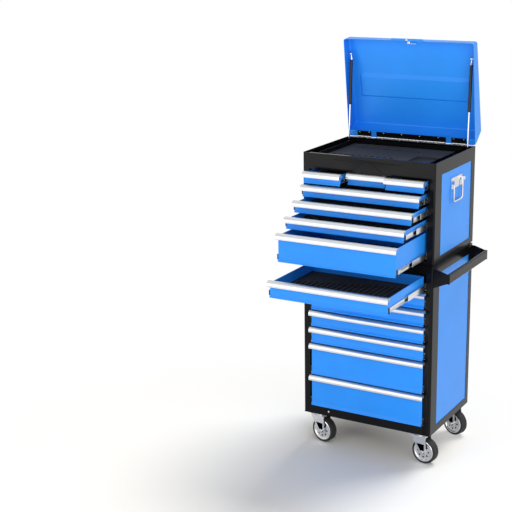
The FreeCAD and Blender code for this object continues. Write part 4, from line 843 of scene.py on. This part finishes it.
# Gas struts, along the line from the upper pivot to the lower one
strut = dict(apart=312, long=mm(458.25), neck=mm(28), tube=mm(7.5), tubeLong=mm(220), rod=mm(3.5), eye=mm(7),
             bore=mm(3.6), eyeWide=mm(8), collar=mm(5.2), collarLong=mm(10), edge=mm(1.2), fine=mm(0.8))
strutWay = -Vector(joints["strut_stroke"]["axis"])
strutTop = Vector(joints["strut_swing"]["pos_m"])
tubes, necks, rods = Shape(), Shape(), Shape()
for side in (-1, 1):
    p, f = strut, strut["fine"]
    top = Vector((at(side * p["apart"], 0, 0).x, strutTop.y, strutTop.z))
    tubeEnd, inEye = p["neck"] + p["tubeLong"], p["eye"] * 0.6
    tubes.turned(roundedBar(p["tube"], p["neck"], tubeEnd, p["edge"]), top, strutWay, 32)
    necks.turned(roundedBar(p["rod"], inEye, p["neck"] + mm(1), f / 2), top, strutWay, 20)
    necks.turned(roundedBar(p["collar"], p["neck"] - p["collarLong"], p["neck"] + f, f), top, strutWay, 6)
    rods.turned(roundedBar(p["rod"], tubeEnd - mm(6), p["long"] - inEye, f / 2), top, strutWay, 20)
    foot = p["long"] - p["neck"]
    rods.turned(roundedBar(p["collar"], foot, foot + p["collarLong"], f), top, strutWay, 6)
    half = p["eyeWide"] / 2
    ring = [(p["bore"], -half), (p["eye"] - f, -half), (p["eye"], -half + f),
            (p["eye"], half - f), (p["eye"] - f, half), (p["bore"], half)]
    necks.turned(ring, top, (1, 0, 0), 28)
    rods.turned(ring, top + strutWay * p["long"], (1, 0, 0), 28)
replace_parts(made("strut_tubes", tubes, "enamel", "strut_cylinders"), "strut_cylinders")
made("strut_necks", necks, "chrome", "strut_cylinders")
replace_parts(made("strut_bars", rods, "chrome", "strut_rods"), "strut_rods")
print("struts ready")

# Casters: the wheel is drawn about its own axle along Y, then laid on the joint's axis.
wheel = dict(round=62.5, half=22, shoulder=8, rim=52, ringIn=41, hub=15, hubHalf=24, bore=6.2, face=18.5, holes=8,
             holeAt=28.5, hole=4.6, core=15)


def mirroredProfile(points):
    # Half a profile in millimetres, then its mirror image across the middle of the wheel.
    points = np.array(points, float)
    return np.vstack((points, points[::-1] * (1, -1))) * 0.001


def wheelShapes():
    # Profiles as (radius, distance from the middle), turned about the axle.
    w = wheel
    r, h, s, rim, ring, face, hub = (w[key] for key in ("round", "half", "shoulder", "rim", "ringIn", "face", "hub"))
    middle, axle = (0, 0, 0), (0, 1, 0)
    tyre = mirroredProfile([(rim - 1, h - 2.5), (rim + 1.5, h - 0.4), *arc((r - s, h - s), s, 90, 0, 9)])
    hoop = mirroredProfile([(ring - 1, face - 1), (ring, face), (ring + 2, face + 0.4), (ring + 4, face + 2.6),
                            (rim - 2, face + 3.2), (rim, face + 1.8)])
    boss = mirroredProfile([(w["bore"], w["hubHalf"]), (9.5, w["hubHalf"]), (10.5, w["hubHalf"] - 1), (hub, face + 1.4),
                            (hub + 3, face + 0.2)])
    metal = Shape().turned(hoop, middle, axle, 72).turned(boss, middle, axle, 48)
    angle = np.arange(w["holes"]) * 2 * np.pi / w["holes"]
    holes = [arc((mm(w["holeAt"]) * math.cos(a), mm(w["holeAt"]) * math.sin(a)), mm(w["hole"]), 0, 345, 24)
             for a in angle]
    points, faces = pierced([arc((0, 0), mm(ring + 0.5), 0, 355, 72), arc((0, 0), mm(hub), 0, 350, 36)] + holes, mm(2))
    for side in (-1, 1):
        metal.add(points[:, (0, 2, 1)] + (0, side * mm(face - 1.2), 0), faces)
    core = Shape().turned(mirroredProfile([(w["bore"] + 0.1, w["core"]), (ring, w["core"])]), middle, axle, 48)
    return Shape().turned(tyre, middle, axle, 72), metal, core


for corner in ("front_left", "front_right", "rear_left", "rear_right"):
    roll = joints[corner + "_roll"]
    axis = Vector(roll["axis"]).normalized()
    turn = Matrix((axis.cross(Vector((0, 0, 1))), axis, (0, 0, 1))).transposed().to_4x4()
    place = Matrix.Translation(roll["pos_m"]) @ turn
    body = "caster_wheel_" + corner
    tyre, metal, core = wheelShapes()
    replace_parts(made(body + "_tyre", tyre.moved(place), "rubber", body, 0, 1, 40), body)
    made(body + "_disc", metal.moved(place), "disc", body, mm(0.25), 1)
    made(body + "_core", core.moved(place), "plastic", body)
    softened("caster_fork_" + corner, "zinc", "caster_fork_" + corner, mm(0.7), 3)
print("casters ready")

# Camera: found by fitting the corners of chest and cabinet to the photograph.
view = dict(lens=86.30, sensor=36.0, place=(2.34825, -5.08989, 2.53035), azimuth=30.727, elevation=15.394,
            roll=-0.969, far=900)


def makeCamera(v):
    # back = (sin a cos e, -cos a cos e, sin e), and roll turns right and up about it.
    data = bpy.data.cameras.new("camera")
    data.lens, data.sensor_width, data.clip_end = v["lens"], v["sensor"], v["far"]
    camera = bpy.data.objects.new("camera", data)
    bpy.context.scene.collection.objects.link(camera)
    a, e, roll = (math.radians(v[key]) for key in ("azimuth", "elevation", "roll"))
    back = Vector((math.sin(a) * math.cos(e), -math.cos(a) * math.cos(e), math.sin(e)))
    right = Vector((0, 0, 1)).cross(back).normalized()
    up = back.cross(right)
    across = right * math.cos(roll) + up * math.sin(roll)
    upward = up * math.cos(roll) - right * math.sin(roll)
    camera.matrix_world = Matrix.Translation(v["place"]) @ Matrix((across, upward, back)).transposed().to_4x4()
    bpy.context.scene.camera = camera


makeCamera(view)

# Studio: a pale floor that turns plain white away from the object, a soft overhead sun and two soft lamps.
studio = dict(
    world=0.28, sun=dict(toward=(0.25, 0.75, 1.25), power=2.2, spread=32),
    lamps=dict(key=dict(place=(3.3, -3.6, 2.3), aim=(0.1, 0, 1.0), size=4.6, power=112),
               fill=dict(place=(-1.8, -4.6, 2.2), aim=(0, 0, 1.1), size=4.2, power=74)),
    floor=dict(reach=400, colour=(0.96, 0.94, 0.89), middle=(-0.3, -0.45, 0), plainFrom=0.6, plainTo=1.6),
)


def turnedTo(place, way):
    # A place whose Z axis points the given way.
    return Matrix.Translation(place) @ Vector(way).to_track_quat("Z", "Y").to_matrix().to_4x4()


def makeLamp(name, kind, matrix, **settings):
    data = bpy.data.lights.new(name, kind)
    for key, value in settings.items():
        setattr(data, key, value)
    lamp = bpy.data.objects.new(name, data)
    lamp.matrix_world = matrix
    bpy.context.scene.collection.objects.link(lamp)


for name, lamp in studio["lamps"].items():
    matrix = turnedTo(lamp["place"], Vector(lamp["place"]) - Vector(lamp["aim"]))
    makeLamp(name, "AREA", matrix, size=lamp["size"], energy=lamp["power"])
sun = studio["sun"]
makeLamp("sun", "SUN", turnedTo((0, 0, 5), sun["toward"]), energy=sun["power"], angle=math.radians(sun["spread"]))
world = Nodes(bpy.data.worlds.new("studio"))
bpy.context.scene.world = world.made
sky = world.tree.nodes["Background"]
world.feed(sky.inputs["Color"], (1, 1, 1))
world.feed(sky.inputs["Strength"], studio["world"] + (1 - studio["world"]) * world.seen())


def makeFloor(f):
    # Lit colour near the middle, turning to plain white where it is seen further out.
    m = Material("pale_floor")
    apart = m.node("ShaderNodeVectorMath", dict(operation="DISTANCE"), {0: m.place, 1: f["middle"]}).outputs["Value"]
    plain = m.seen() * Value(m, apart).between(f["plainFrom"], f["plainTo"])
    m.finish(Base_Color=f["colour"], Roughness=0.6)
    white = m.node("ShaderNodeEmission", {}, {"Color": (1, 1, 1), "Strength": 1.0}).outputs["Emission"]
    mix = m.node("ShaderNodeMixShader", {}, {0: plain, 1: m.shader.outputs["BSDF"], 2: white})
    m.tree.links.new(mix.outputs["Shader"], m.tree.nodes["Material Output"].inputs["Surface"])
    # its white is only looked at, so no light is looked for there
    m.made.cycles.emission_sampling = "NONE"
    mesh = bpy.data.meshes.new("floor")
    corners = np.array([(-1, -1, 0), (1, -1, 0), (1, 1, 0), (-1, 1, 0)]) * f["reach"]
    mesh.from_pydata(corners.tolist(), [], [(0, 1, 2, 3)])
    mesh.materials.append(m.made)
    floor = bpy.data.objects.new("floor", mesh)
    bpy.context.scene.collection.objects.link(floor)


makeFloor(studio["floor"])
bpy.context.scene.view_settings.view_transform = "Standard"
print("stage ready")
